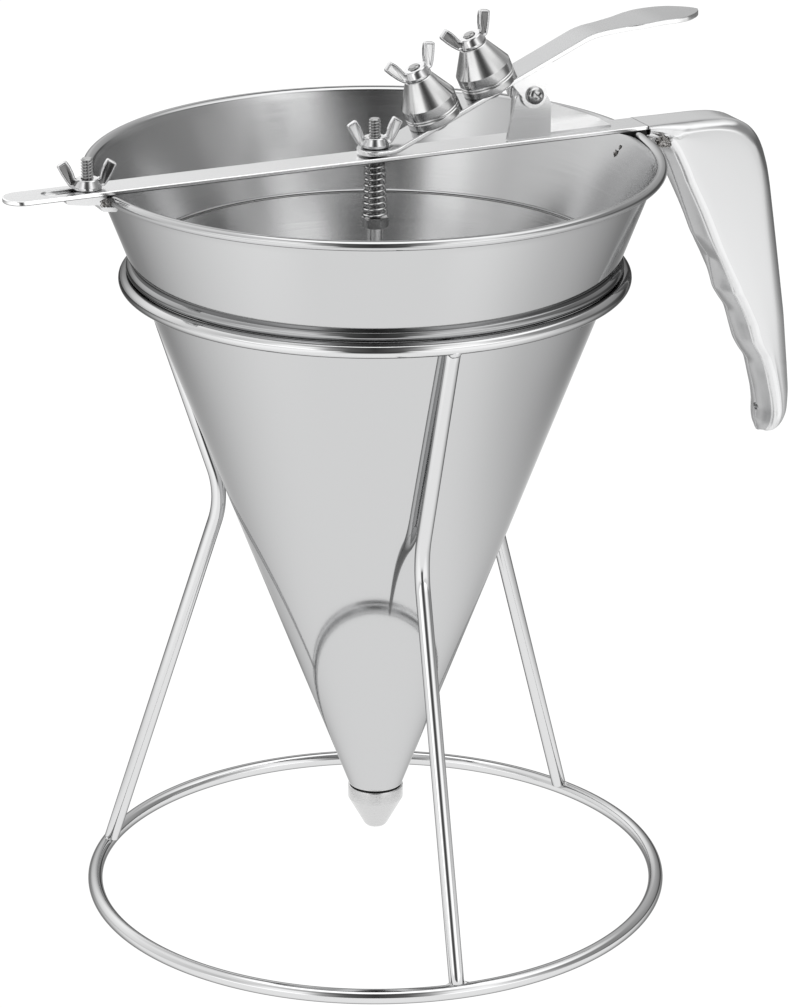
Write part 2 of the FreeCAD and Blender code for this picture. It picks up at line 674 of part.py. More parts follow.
def under(x, down):
    return x, lz + (x - lb) * tan(la) - dz - down


ears = []
for side_name, sgn in (("near", -1), ("far", 1)):
    e = body("ear_" + side_name)
    sk = sketch(e, "XZ_Plane", "ear_%s_side" % side_name)
    er = D("ear_r")
    p = [under(D("ear_left"), 0.02), under(D("ear_right"), 0.02)]
    arcp = [(hx + er * math.cos(math.radians(t)), hz + er * math.sin(math.radians(t))) for t in (20, 0, -20, -40, -60, -80, -100, -120, -140, -160, -180)]
    poly(sk, p + arcp)
    pad(e, sk, "ear_%s_pad" % side_name, et)
    at(e, 0, (ein + et / 2) * sgn, 0)
    ears.append(e)
web = body("ear_web")
sk = sketch(web, "XZ_Plane", "ear_web_side")
poly(sk, [under(D("ear_left") + 0.4, 0.02), under(D("ear_right") - 0.2, 0.02), under(D("ear_right") - 0.2, 1.1), under(D("ear_left") + 0.4, 1.1)])
pad(web, sk, "ear_web_pad", (ein + et) * 2 - 0.02)
node("lever_ears", cut("lever_ears", fuse("ears_all", web, *ears),
     cyl("ear_hole", hx, 8, hz, D("hinge_hole"), 16, across)))

# storage screws, one node: two separate screws
top = D("spare_len") + 5.0


def storage_screw(k, alias):
    s = spun("storage_screw_%d" % k,
             [(0, -lt - D("head_t") - 0.03), (D("head_r") * 0.55, -lt - D("head_t") - 0.03), (D("head_r"), -lt - 0.8), (D("head_r"), -lt - 0.03),
              (D("screw_r"), -lt - 0.03), (D("screw_r"), top - 0.5), (D("screw_r") - 0.5, top), (0, top)])
    return sloped(s, D(alias))


pair = doc.addObject("Part::Compound", "storage_screws")
pair.Links = [storage_screw(1, "store_one"), storage_screw(2, "store_two")]
node("storage_screws", pair)

# spare nozzles, wide end down on the lever, hollow like the mounted one
sr, sc, sl, stip = D("spare_r"), D("spare_cyl"), D("spare_len"), D("spare_tip_r")


def spare(name, alias):
    g1, g2 = q(2.7), q(3.6)
    b = spun(name,
             [(7.1, 0.03), (sr, 0.03), (sr, g1 - 0.25), (sr - 0.3, g1), (sr, g1 + 0.25), (sr, g2 - 0.25), (sr - 0.3, g2), (sr, g2 + 0.25),
              (sr, sc), (stip, sl - 0.3), (stip - 0.3, sl), (D("spare_bore"), sl), (D("spare_bore"), sl - 2.2), (7.1, sc - 0.6)])
    return node(name, sloped(b, D(alias)))


spare("spare_nozzle_1", "store_one")
spare("spare_nozzle_2", "store_two")

# ---------------------------------------------------------------- valve rod

node("plunger_rod", spun("plunger_rod",
     [(0, D("rod_low")), (D("rod_r"), D("rod_low")), (D("rod_r"), D("rod_step")), (D("screw_r"), D("rod_step")),
      (D("screw_r"), D("rod_top") - 0.5), (D("screw_r") - 0.5, D("rod_top")), (0, D("rod_top"))]))


def seat_height(r):
    """Height on the valve's cone where its radius is r."""
    return D("seat_z") + (q(r) + D("seat_gap") - D("outlet_r")) / D("seat_slope")


node("valve_tip", spun("valve_tip",
     [(0, seat_height(2.6)), (2.6, seat_height(2.6)), (D("valve_r"), seat_height(D("valve_r"))), (D("valve_r"), D("rod_low") - 2.0),
      (D("rod_r"), D("rod_low") - 0.02), (0, D("rod_low") - 0.02)]))

sn = hexnut("spring_nut_blank", D("screw_r") + 0.02)
sn.Placement = Placement(Vector(0, 0, 0), Rotation(Vector(0, 0, 1), 32))
at(sn, 0, 0, D("rod_step") + 0.02)
node("spring_nut", sn)

# conical compression spring between the nut and the underside of the bar
spring_low = D("rod_step") + D("nut_len") + 0.06 + D("coil_wire")
spring_len = D("bar_z") - D("coil_wire") - 0.04 - spring_low
hel = doc.addObject("Part::Helix", "spring_line")
bind(hel, "Pitch", D("coil_pitch"))
bind(hel, "Height", spring_len)
bind(hel, "Radius", D("coil_low_r"))
taper = math.degrees(math.atan((VAL["coil_low_r"] - VAL["coil_top_r"]) / spring_len.v))
hel.Angle = -taper
at(hel, 0, 0, spring_low)
ws = doc.addObject("Part::Circle", "spring_section")
bind(ws, "Radius", D("coil_wire"))
ws.Placement = Placement(Vector(VAL["coil_low_r"], 0, spring_low.v), Rotation(Vector(1, 0, 0), 90))
bind(ws, "Placement.Base.x", D("coil_low_r"))
bind(ws, "Placement.Base.z", spring_low)
doc.recompute()
sw = doc.addObject("Part::Sweep", "return_spring")
sw.Sections = [ws]
sw.Spine = (hel, ["Edge%d" % (i + 1) for i in range(len(hel.Shape.Edges))])
sw.Solid = True
sw.Frenet = True
node("return_spring", sw)

# ---------------------------------------------------------------- wing nuts


def wing_nut(name):
    """Turned boss with two upswept wings, drawn with its base at height 0."""
    b = spun(name, [(D("wing_bore"), 0), (D("wing_low_r"), 0), (D("wing_high_r"), D("wing_boss")), (D("wing_bore"), D("wing_boss"))])
    sk = sketch(b, "XZ_Plane", name + "_wing")
    ws_, wt_ = D("wing_span"), D("wing_top")
    poly(sk, [(3.0, 0.7), (D("wing_low_r") + 0.9, 0.7), (ws_ - 2.95, 2.3), (ws_ - 1.5, wt_ - 4.85), (ws_, wt_ - 1.85), (ws_ - 1.5, wt_ - 0.6),
              (ws_ - 3.1, wt_), (ws_ - 4.45, wt_ - 2.1), (ws_ - 5.35, wt_ - 4.2), (D("wing_high_r") + 0.25, D("wing_boss") + 0.2),
              (3.0, D("wing_boss") - 0.3)])
    p = pad(b, sk, name + "_wing_pad", D("wing_t"))
    doc.recompute()
    m = b.newObject("PartDesign::Mirrored", name + "_pair")
    m.Originals = [p]
    plane = [f for f in b.Origin.OriginFeatures if f.Role == "YZ_Plane"][0]
    m.MirrorPlane = (plane, [""])
    b.Tip = m
    return b


w = wing_nut("clamp_wing_nut")
w.Placement = Placement(Vector(0, 0, 0), Rotation(Vector(0, 0, 1), -12))
at(w, D("stud_x"), 0, bt + 0.05)
node("clamp_wing_nut", w)
w = wing_nut("rod_wing_nut")
w.Placement = Placement(Vector(0, 0, 0), Rotation(Vector(0, 0, 1), -4))
at(w, 0, 0, lz + D("rest_gap"))
node("rod_wing_nut", w)
for k, alias in ((1, "store_one"), (2, "store_two")):
    w = wing_nut("spare_wing_nut_%d" % k)
    px = D(alias) - (D("spare_len") + 0.05) * sin(la)
    pz = lz + (D(alias) - lb) * tan(la) + (D("spare_len") + 0.05) * cos(la)
    w.Placement = Placement(Vector(px.v, 0, pz.v), up_slope)
    bind(w, "Placement.Base.x", px)
    bind(w, "Placement.Base.z", pz)
    bind(w, "Placement.Rotation.Angle", la)
    node("spare_wing_nut_%d" % k, w)

# the grip: outer block less its hollow, and the drain hole near its foot
node("handle_grip", cut("handle_grip", GRIP[0], fuse("grip_room", GRIP[1], GRIP[2])))

# ---------------------------------------------------------------- checks

doc.recompute()
bad = []
for o in doc.Objects:
    if "Invalid" in o.State or "Error" in o.State:
        bad.append("%s: %s" % (o.Name, o.State))
for name, o in OUT.items():
    s = o.Shape
    if s.isNull() or not s.isValid() or not s.Solids:
        bad.append("%s: shape not usable" % name)
if bad:
    raise RuntimeError("model has faults: " + "; ".join(bad))

os.makedirs("parts", exist_ok=True)
for old in os.listdir("parts"):
    if old.endswith(".step") and old[:-5] not in OUT:
        os.remove(os.path.join("parts", old))
for name, o in sorted(OUT.items()):
    s = o.Shape
    bb = s.optimalBoundingBox(False)
    print("%-18s %d solid(s) %9.1f mm3  x %.1f..%.1f  y %.1f..%.1f  z %.1f..%.1f"
          % (name, len(s.Solids), s.Volume, bb.XMin, bb.XMax, bb.YMin, bb.YMax, bb.ZMin, bb.ZMax))
    s.exportStep("parts/%s.step" % name)
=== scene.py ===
import bpy
import bmesh
import math
from mathutils import Vector, Matrix, noise


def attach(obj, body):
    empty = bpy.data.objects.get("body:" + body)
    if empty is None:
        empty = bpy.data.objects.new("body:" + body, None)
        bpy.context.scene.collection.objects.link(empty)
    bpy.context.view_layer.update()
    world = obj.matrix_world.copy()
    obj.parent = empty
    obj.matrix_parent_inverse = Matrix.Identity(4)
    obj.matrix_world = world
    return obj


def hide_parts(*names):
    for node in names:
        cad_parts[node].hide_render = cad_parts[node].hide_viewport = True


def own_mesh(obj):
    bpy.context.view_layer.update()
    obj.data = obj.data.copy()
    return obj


# Looks of the batter dispenser: polished sheet funnel with a brushed inside,
# wire stand, flat carrying bar with a sheet grip, thumb lever, spring valve and
# two spare nozzles kept under wing nuts. Shapes are written in millimetres.

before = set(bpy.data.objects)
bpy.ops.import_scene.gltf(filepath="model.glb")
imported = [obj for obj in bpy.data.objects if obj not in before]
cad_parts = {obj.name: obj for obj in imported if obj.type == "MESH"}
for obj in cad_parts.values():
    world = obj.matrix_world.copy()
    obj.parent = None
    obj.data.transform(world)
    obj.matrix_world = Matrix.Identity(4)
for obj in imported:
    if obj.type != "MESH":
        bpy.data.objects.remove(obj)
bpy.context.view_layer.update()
MM = 0.001
pi = math.pi
rad = math.radians
scene = bpy.context.scene

# ------------------------------------------------------------------ node help


class Tree:
    """Short hand for a material's or the world's node tree."""

    def __init__(self, owner):
        owner.use_nodes = True
        self.t = owner.node_tree
        self.t.nodes.clear()
        self.x = 0

    def add(self, kind, **props):
        n = self.t.nodes.new(kind)
        n.location = (self.x, 0)
        self.x += 190
        for k, v in props.items():
            setattr(n, k, v)
        return n

    def link(self, a, b):
        self.t.links.new(a, b)

    def math(self, op, a, b=None, c=None, clamp=False):
        n = self.add("ShaderNodeMath", operation=op, use_clamp=clamp)
        for i, v in enumerate((a, b, c)):
            if v is None:
                continue
            if isinstance(v, (int, float)):
                n.inputs[i].default_value = v
            else:
                self.link(v, n.inputs[i])
        return n.outputs[0]

    def ramp(self, v, lo, hi, a, b, smooth=True):
        n = self.add("ShaderNodeMapRange", interpolation_type="SMOOTHSTEP" if smooth else "LINEAR")
        self.link(v, n.inputs["Value"])
        for k, x in (("From Min", lo), ("From Max", hi), ("To Min", a), ("To Max", b)):
            if isinstance(x, (int, float)):
                n.inputs[k].default_value = x
            else:
                self.link(x, n.inputs[k])
        return n.outputs[0]

    def noise(self, vec, scale, detail=2.0, rough=0.5):
        n = self.add("ShaderNodeTexNoise")
        n.inputs["Scale"].default_value = scale
        n.inputs["Detail"].default_value = detail
        n.inputs["Roughness"].default_value = rough
        self.link(vec, n.inputs["Vector"])
        return n.outputs["Fac"]

    def coords(self):
        return self.add("ShaderNodeTexCoord").outputs["Object"]

    def scaled(self, vec, x, y, z):
        n = self.add("ShaderNodeMapping")
        n.inputs["Scale"].default_value = (x, y, z)
        self.link(vec, n.inputs["Vector"])
        return n.outputs["Vector"]

    def turned(self, vec, around, along):
        """Coordinates that run round the piece's own Z axis: fine along it, slow round it."""
        s = self.add("ShaderNodeSeparateXYZ")
        self.link(vec, s.inputs[0])
        r = self.math("SQRT", self.math("ADD", self.math("MULTIPLY", s.outputs[0], s.outputs[0]),
                                        self.math("MULTIPLY_ADD", s.outputs[1], s.outputs[1], 1e-8)))
        c = self.add("ShaderNodeCombineXYZ")
        self.link(self.math("MULTIPLY", self.math("DIVIDE", s.outputs[0], r), around), c.inputs[0])
        self.link(self.math("MULTIPLY", self.math("DIVIDE", s.outputs[1], r), around), c.inputs[1])
        self.link(self.math("MULTIPLY", self.math("ADD", s.outputs[2], self.math("MULTIPLY", r, 0.35)), along), c.inputs[2])
        return c.outputs[0]


def principled(t, base, metallic, aniso=0.0, turn=0.0, coat=0.0):
    p = t.add("ShaderNodeBsdfPrincipled")
    p.inputs["Base Color"].default_value = (base[0], base[1], base[2], 1.0)
    p.inputs["Metallic"].default_value = metallic
    p.inputs["Anisotropic"].default_value = aniso
    p.inputs["Anisotropic Rotation"].default_value = turn
    if coat:
        p.inputs["Coat Weight"].default_value = coat
    out = t.add("ShaderNodeOutputMaterial")
    t.link(p.outputs[0], out.inputs["Surface"])
    return p


def bump(t, p, height, strength, dist):
    b = t.add("ShaderNodeBump")
    b.inputs["Strength"].default_value = strength
    b.inputs["Distance"].default_value = dist
    t.link(height, b.inputs["Height"])
    t.link(b.outputs[0], p.inputs["Normal"])


def polished(name, base, rough, spread=0.02, ripple=0.0, scale=9.0):
    """Buffed sheet or wire: near mirror, with a slow change of gloss and a trace of waviness."""
    m = bpy.data.materials.new(name)
    t = Tree(m)
    p = principled(t, base, 1.0)
    co = t.coords()
    t.link(t.ramp(t.noise(co, scale, 3.0), 0.3, 0.7, rough, rough + spread), p.inputs["Roughness"])
    if ripple:
        bump(t, p, t.noise(co, 24.0, 1.0), ripple, 0.001)
    return m


def rounded_steel(name, base, low, rough, spread=0.03, start=0.45, end=0.9):
    """Drawn wire and rolled beads, with painted shade: the base colour is bright facing the eye and darker where the
    surface turns away.
    """
    m = bpy.data.materials.new(name)
    t = Tree(m)
    p = principled(t, base, 1.0)
    p.inputs["Specular Tint"].default_value = (0.55, 0.55, 0.55, 1.0)
    lw = t.add("ShaderNodeLayerWeight")
    lw.inputs["Blend"].default_value = 0.5
    c = t.add("ShaderNodeMix", data_type="RGBA")
    c.inputs["A"].default_value = (base[0], base[1], base[2], 1.0)
    c.inputs["B"].default_value = (low, low, low, 1.0)
    t.link(t.ramp(lw.outputs["Facing"], start, end, 0.0, 1.0), c.inputs["Factor"])
    t.link(c.outputs["Result"], p.inputs["Base Color"])
    t.link(t.ramp(t.noise(t.coords(), 9.0, 3.0), 0.3, 0.7, rough, rough + spread), p.inputs["Roughness"])
    return m


def turned_metal(name, base, rough, aniso, lines=9000.0, depth=0.05, spread=0.08, tangent=True):
    """Lathe-turned or spun steel: fine rings round the piece's axis, stretched highlights."""
    m = bpy.data.materials.new(name)
    t = Tree(m)
    p = principled(t, base, 1.0, aniso, 0.25)
    vec = t.turned(t.coords(), 1.2, lines)
    n1 = t.noise(vec, 1.0, 3.0, 0.7)
    t.link(t.ramp(n1, 0.25, 0.75, rough, rough + spread), p.inputs["Roughness"])
    bump(t, p, n1, depth, 0.0001)
    if tangent:
        tg = t.add("ShaderNodeTangent", direction_type="RADIAL", axis="Z")
        t.link(tg.outputs[0], p.inputs["Tangent"])
    return m


def ground_flat(name, base, rough, depth=0.04, spread=0.06, along=(60.0, 4500.0, 4500.0)):
    """Flat stock linished along its length."""
    m = bpy.data.materials.new(name)
    t = Tree(m)
    p = principled(t, base, 1.0)
    co = t.coords()
    n1 = t.noise(t.scaled(co, *along), 1.0, 2.0, 0.6)
    n2 = t.noise(co, 40.0, 2.0)
    t.link(t.math("ADD", t.ramp(n1, 0.3, 0.7, rough, rough + spread), t.ramp(n2, 0.3, 0.7, 0.0, 0.03)), p.inputs["Roughness"])
    bump(t, p, n1, depth, 0.0001)
    return m


def weld_metal(name, base, dark):
    m = bpy.data.materials.new(name)
    t = Tree(m)
    p = principled(t, base, 1.0)
    co = t.coords()
    n = t.noise(co, 900.0, 4.0, 0.65)
    c = t.add("ShaderNodeMix", data_type="RGBA")
    c.inputs["A"].default_value = (base[0], base[1], base[2], 1.0)
    c.inputs["B"].default_value = (dark[0], dark[1], dark[2], 1.0)
    t.link(t.ramp(n, 0.42, 0.62, 0.0, 1.0), c.inputs["Factor"])
    t.link(c.outputs["Result"], p.inputs["Base Color"])
    t.link(t.ramp(n, 0.3, 0.7, 0.18, 0.42), p.inputs["Roughness"])
    bump(t, p, n, 0.35, 0.0003)
    return m


def rubber(name):
    m = bpy.data.materials.new(name)
    t = Tree(m)
    p = principled(t, (0.006, 0.006, 0.006), 0.0)
    p.inputs["Specular IOR Level"].default_value = 0.2
    t.link(t.ramp(t.noise(t.coords(), 700.0, 2.0), 0.3, 0.7, 0.45, 0.65), p.inputs["Roughness"])
    return m


STEEL = (0.56, 0.565, 0.57)
M_IN = turned_metal("funnel_inside", (0.60, 0.602, 0.605), 0.17, 0.8, 1900.0, 0.10, 0.06)
M_OUT = rounded_steel("funnel_outside", (0.57, 0.572, 0.575), 0.34, 0.045, 0.03, 0.84, 1.0)
M_SEAMLINE = rounded_steel("seam_line", (0.50, 0.50, 0.50), 0.30, 0.25, 0.08)
M_WIRE = rounded_steel("stand_wire", (0.68, 0.682, 0.685), 0.06, 0.03, 0.03, 0.40, 0.88)
# painted shade: the seam bead's base colour is darker than the sheet, for the shade under the overhanging band
M_BEAD_SHADED = rounded_steel("seam_bead", (0.38, 0.382, 0.385), 0.07, 0.04)
M_BAR = ground_flat("bar_steel", (0.66, 0.662, 0.665), 0.17, 0.03, 0.05)
M_GRIP = polished("grip_steel", (0.66, 0.662, 0.665), 0.15, 0.05, 0.03, 22.0)
# lever top and lever sides are lit and shaded copies of one steel: the near-white base on the sides and ears is painted
# light against the darker top
M_LEVER = ground_flat("lever_steel", (0.46, 0.462, 0.465), 0.17, 0.03, 0.05)
M_SIDE_LIT = ground_flat("lever_side_steel_painted_light", (0.97, 0.97, 0.97), 0.2, 0.03, 0.05)
M_BRACKET = ground_flat("bracket_steel", (0.82, 0.822, 0.825), 0.17, 0.03, 0.05)
# painted light: the far bracket wall gets a brighter copy of the bracket steel
M_BRACKET_FAR_LIT = ground_flat("bracket_far_steel_painted_light", (0.97, 0.97, 0.97), 0.2, 0.03, 0.05)
# painted shade for the bar's lower edge faces
M_LOW_EDGE_SHADE = polished("lower_edge_painted_shade", (0.20, 0.20, 0.20), 0.2, 0.05)
# painted shade on the grip's finger face and a painted highlight along its bend, as copies of the grip steel
M_FINGER_SHADED = polished("grip_finger_side_painted_shade", (0.50, 0.502, 0.505), 0.27, 0.05, 0.02, 22.0)
M_CREASE_LIT = polished("grip_bend_painted_highlight", (0.73, 0.732, 0.735), 0.2, 0.05, 0.02, 22.0)
# painted highlight for the bar's upper edge faces
M_TOP_EDGE_LIT = polished("sheet_edge", (0.97, 0.97, 0.97), 0.14, 0.05)
M_TURN = turned_metal("turned_steel", (0.60, 0.60, 0.60), 0.20, 0.5, 7000.0, 0.08, 0.10)
M_SPARE = turned_metal("spare_steel", (0.62, 0.62, 0.62), 0.14, 0.75, 5000.0, 0.06, 0.05)
M_SCREW = polished("screw_steel", (0.54, 0.54, 0.54), 0.12, 0.08, 0.0, 300.0)
M_ROD = turned_metal("rod_steel", (0.60, 0.60, 0.60), 0.12, 0.3, 5000.0, 0.05, 0.08)
M_SPRING = rounded_steel("spring_steel", (0.72, 0.72, 0.72), 0.05, 0.08, 0.04, 0.35, 0.8)
# painted shade: darker base on the threads for the shade in the thread grooves
M_THREAD_SHADED = polished("thread_steel_painted_shade", (0.36, 0.36, 0.36), 0.16, 0.08, 0.0, 300.0)
M_HEX = polished("hex_steel", (0.40, 0.40, 0.40), 0.16, 0.06, 0.03, 200.0)
M_WING = polished("wing_nut_steel", (0.70, 0.70, 0.705), 0.10, 0.07, 0.05, 260.0)
# painted shade and painted light: dark and pale copies of the wing nut steel for the sunk flats
M_SUNK_SHADED = polished("wing_flat_painted_shade", (0.20, 0.20, 0.20), 0.22, 0.08, 0.05, 260.0)
M_SUNK_LIT = polished("wing_flat_painted_light", (0.84, 0.84, 0.84), 0.28, 0.08, 0.05, 260.0)
M_WELD = weld_metal("weld_bead", (0.42, 0.41, 0.40), (0.08, 0.075, 0.07))
M_SPOT = weld_metal("weld_spot", (0.58, 0.57, 0.56), (0.20, 0.19, 0.18))
M_WELDW = polished("weld_fillet", (0.62, 0.62, 0.62), 0.10, 0.10, 0.35, 400.0)
M_SEAL = rubber("seal_rubber")
# painted shade: near-black steel for the shadowed gap under the bar end
M_SHADE = polished("painted_shade_black", (0.03, 0.03, 0.03), 0.5, 0.1)

# ------------------------------------------------------------------ mesh help


def make(name, verts, faces, mats, fmat=None, sharp=40.0, scale=MM):
    """A piece from plain lists; edges sharper than the limit keep a crisp shading."""
    me = bpy.data.meshes.new(name)
    me.from_pydata([(v[0] * scale, v[1] * scale, v[2] * scale) for v in verts], [], faces)
    bm = bmesh.new()
    bm.from_mesh(me)
    if fmat:
        bm.faces.ensure_lookup_table()
        for f, i in zip(bm.faces, fmat):
            f.material_index = i
    bmesh.ops.remove_doubles(bm, verts=bm.verts, dist=2e-7)
    bmesh.ops.recalc_face_normals(bm, faces=bm.faces)
    crisp(bm, sharp)
    bm.to_mesh(me)
    bm.free()
    for m in (mats if isinstance(mats, (list, tuple)) else [mats]):
        me.materials.append(m)
    o = bpy.data.objects.new(name, me)
    scene.collection.objects.link(o)
    return o


def crisp(bm, sharp):
    for f in bm.faces:
        f.smooth = True
    for e in bm.edges:
        e.smooth = not (len(e.link_faces) == 2 and e.calc_face_angle(0.0) > rad(sharp))


def recrisp(o, sharp=40.0):
    bm = bmesh.new()
    bm.from_mesh(o.data)
    crisp(bm, sharp)
    bm.to_mesh(o.data)
    bm.free()


def bake(o):
    """Replace a piece's mesh by what its modifiers make of it."""
    dg = bpy.context.evaluated_depsgraph_get()
    me = bpy.data.meshes.new_from_object(o.evaluated_get(dg), preserve_all_data_layers=True, depsgraph=dg)
    o.modifiers.clear()
    old = o.data
    o.data = me
    if old.users == 0:
        bpy.data.meshes.remove(old)
    return o


def boolean(o, tool, how="DIFFERENCE"):
    m = o.modifiers.new("cut", "BOOLEAN")
    m.operation = how
    m.solver = "EXACT"
    m.object = tool
    bake(o)
    me = tool.data
    bpy.data.objects.remove(tool)
    if me.users == 0:
        bpy.data.meshes.remove(me)
    return o


def soften(o, width, segments=3, angle=35.0):
    """Rounded edges with flat faces kept flat."""
    recrisp(o, 180.0)
    m = o.modifiers.new("edge", "BEVEL")
    m.width = width * MM
    m.segments = segments
    m.limit_method = "ANGLE"
    m.angle_limit = rad(angle)
    m.harden_normals = False
    m.use_clamp_overlap = True
    bake(o)
    recrisp(o, 60.0)
    w = o.modifiers.new("flat", "WEIGHTED_NORMAL")
    w.keep_sharp = True
    w.weight = 60
    return o


def round_edges(o, pick, width, segments):
    """Bend radius on chosen edges; the test gets both ends in millimetres."""
    bm = bmesh.new()
    bm.from_mesh(o.data)
    es = [e for e in bm.edges if pick(e.verts[0].co / MM, e.verts[1].co / MM)]
    bmesh.ops.bevel(bm, geom=es, offset=width * MM, segments=segments, profile=0.5, affect="EDGES", clamp_overlap=True)
    bm.to_mesh(o.data)
    bm.free()
    return o


def join(name, *objs):
    """Several separate closed shells as one piece."""
    verts, faces, mats, fm = [], [], [], []
    for o in objs:
        base = len(verts)
        mw = o.matrix_world
        idx = []
        for m in o.data.materials:
            if m not in mats:
                mats.append(m)
            idx.append(mats.index(m))
        for v in o.data.vertices:
            verts.append(tuple(mw @ v.co))
        for f in o.data.polygons:
            faces.append(tuple(base + i for i in f.vertices))
            fm.append(idx[f.material_index] if idx else 0)
    for o in objs:
        bpy.data.objects.remove(o)
    me = make(name, verts, faces, mats, fm, scale=1.0)
    return me


def spin(profile, n=160, closed=True):
    """Faces of a turned shape from (radius, height) points, with each face's profile step."""
    verts, faces, step, ring = [], [], [], []
    for r, z in profile:
        if r < 1e-6:
            ring.append([len(verts)])
            verts.append((0.0, 0.0, z))
        else:
            ring.append(list(range(len(verts), len(verts) + n)))
            for k in range(n):
                a = 2 * pi * k / n
                verts.append((r * math.cos(a), r * math.sin(a), z))
    m = len(profile)
    for i in range(m if closed else m - 1):
        a, b = ring[i], ring[(i + 1) % m]
        if len(a) == 1 and len(b) == 1:
            continue
        for k in range(n):
            j = (k + 1) % n
            if len(a) == 1:
                faces.append((a[0], b[j], b[k]))
            elif len(b) == 1:
                faces.append((a[k], a[j], b[0]))
            else:
                faces.append((a[k], a[j], b[j], b[k]))
            step.append(i)
    return verts, faces, step


def fillet(pts, r, seg=5, closed=True):
    """Outline with its corners rounded; r is one radius or one per corner."""
    out = []
    n = len(pts)
    for i in range(n):
        b = Vector(pts[i])
        ri = r[i] if isinstance(r, (list, tuple)) else r
        if ri <= 0 or (not closed and i in (0, n - 1)):
            out.append((b.x, b.y))
            continue
        a, c = Vector(pts[i - 1]), Vector(pts[(i + 1) % n])
        u, v = a - b, c - b
        lu, lv = u.length, v.length
        u.normalize()
        v.normalize()
        ang = u.angle(v)
        if ang > pi - 0.01:
            out.append((b.x, b.y))
            continue
        t = min(ri / math.tan(ang / 2), lu * 0.49, lv * 0.49)
        rr = t * math.tan(ang / 2)
        o = b + (u + v).normalized() * (rr / math.sin(ang / 2))
        p, q = b + u * t - o, b + v * t - o
        a0, a1 = math.atan2(p.y, p.x), math.atan2(q.y, q.x)
        d = (a1 - a0 + pi) % (2 * pi) - pi
        for k in range(seg + 1):
            a = a0 + d * k / seg
            out.append((o.x + rr * math.cos(a), o.y + rr * math.sin(a)))
    return out


def turned(name, profile, mat, n=160, closed=True, sharp=40.0):
    v, f, s = spin(profile, n, closed)
    return make(name, v, f, mat, None, sharp)


def arc(cx, cy, r, a0, a1, n):
    return [(cx + r * math.cos(rad(a0 + (a1 - a0) * k / n)), cy + r * math.sin(rad(a0 + (a1 - a0) * k / n))) for k in range(n + 1)]


def sweep(path, radius, n=24, ends=0.35):
    """Round wire along 3-D points, its ends cut square with a broken edge."""
    pts = [Vector(p) for p in path]
    rs = [radius] * len(pts) if isinstance(radius, (int, float)) else list(radius)
    tang = []
    for i in range(len(pts)):
        a, b = pts[max(i - 1, 0)], pts[min(i + 1, len(pts) - 1)]
        tang.append((b - a).normalized())
    rows = []
    if ends:
        for k in range(4):
            a = pi / 2 * k / 4
            rows.append((pts[0] + tang[0] * (ends * (1 - math.sin(a))) * 1.0, tang[0], rs[0] - ends * (1 - math.cos(pi / 2 - a)) if k else rs[0] - ends))
        rows = [(pts[0] + tang[0] * ends * (1 - math.cos(pi / 2 * k / 4)), tang[0], rs[0] - ends + ends * math.sin(pi / 2 * k / 4)) for k in range(4)]
    for i in range(len(pts)):
        if ends and i == 0:
            rows.append((pts[0] + tang[0] * ends, tang[0], rs[0]))
        elif ends and i == len(pts) - 1:
            rows.append((pts[-1] - tang[-1] * ends, tang[-1], rs[-1]))
        else:
            rows.append((pts[i], tang[i], rs[i]))
    if ends:
        rows += [(pts[-1] - tang[-1] * ends * (1 - math.cos(pi / 2 * k / 4)), tang[-1], rs[-1] - ends + ends * math.sin(pi / 2 * k / 4)) for k in (3, 2, 1, 0)]
    ref = Vector((0, 0, 1)) if abs(tang[0].z) < 0.8 else Vector((1, 0, 0))
    nx = tang[0].cross(ref).normalized()
    verts, faces = [], []
    prev = tang[0]
    for p, t, r in rows:
        q = prev.rotation_difference(t)
        nx = (q @ nx).normalized()
        nx = (nx - t * nx.dot(t)).normalized()
        ny = t.cross(nx)
        prev = t
        for k in range(n):
            a = 2 * pi * k / n
            verts.append(p + nx * (r * math.cos(a)) + ny * (r * math.sin(a)))
    m = len(rows)
    for i in range(m - 1):
        for k in range(n):
            j = (k + 1) % n
            faces.append((i * n + k, i * n + j, (i + 1) * n + j, (i + 1) * n + k))
    faces.append(tuple(range(n - 1, -1, -1)))
    faces.append(tuple((m - 1) * n + k for k in range(n)))
    return verts, faces


def loft(loops, cap=True):
    """Quads between closed loops of the same length, with flat ends."""
    n = len(loops[0])
    verts = [p for l in loops for p in l]
    faces = []
    for i in range(len(loops) - 1):
        for k in range(n):
            j = (k + 1) % n
            faces.append((i * n + k, i * n + j, (i + 1) * n + j, (i + 1) * n + k))
    if cap:
        faces.append(tuple(range(n - 1, -1, -1)))
        faces.append(tuple((len(loops) - 1) * n + k for k in range(n)))
    return verts, faces


def prism(name, outline, y0, y1, mat, holes=()):
    """A side outline (x, z) given thickness across y, with holes (x, z, r)."""
    n = len(outline)
    verts = [(x, y0, z) for x, z in outline] + [(x, y1, z) for x, z in outline]
    faces = [tuple(range(n)), tuple(range(2 * n - 1, n - 1, -1))]
    for k in range(n):
        j = (k + 1) % n
        faces.append((k, j, n + j, n + k))
    o = make(name, verts, faces, mat)
    for x, z, r in holes:
        v, f, s = spin([(0, y0 - 2), (r, y0 - 2), (r, y1 + 2), (0, y1 + 2)], 48, False)
        v = [(x + a, c, z + b) for a, b, c in v]
        boolean(o, make("tool", v, f, mat))
    return o


def box_tool(x0, x1, y0, y1, z0, z1, mat, turn=None):
    v = [(x, y, z) for z in (z0, z1) for y in (y0, y1) for x in (x0, x1)]
    if turn is not None:
        v = [tuple(turn @ Vector(p)) for p in v]
    f = [(0, 2, 3, 1), (4, 5, 7, 6), (0, 1, 5, 4), (2, 6, 7, 3), (0, 4, 6, 2), (1, 3, 7, 5)]
    return make("tool", v, f, mat)


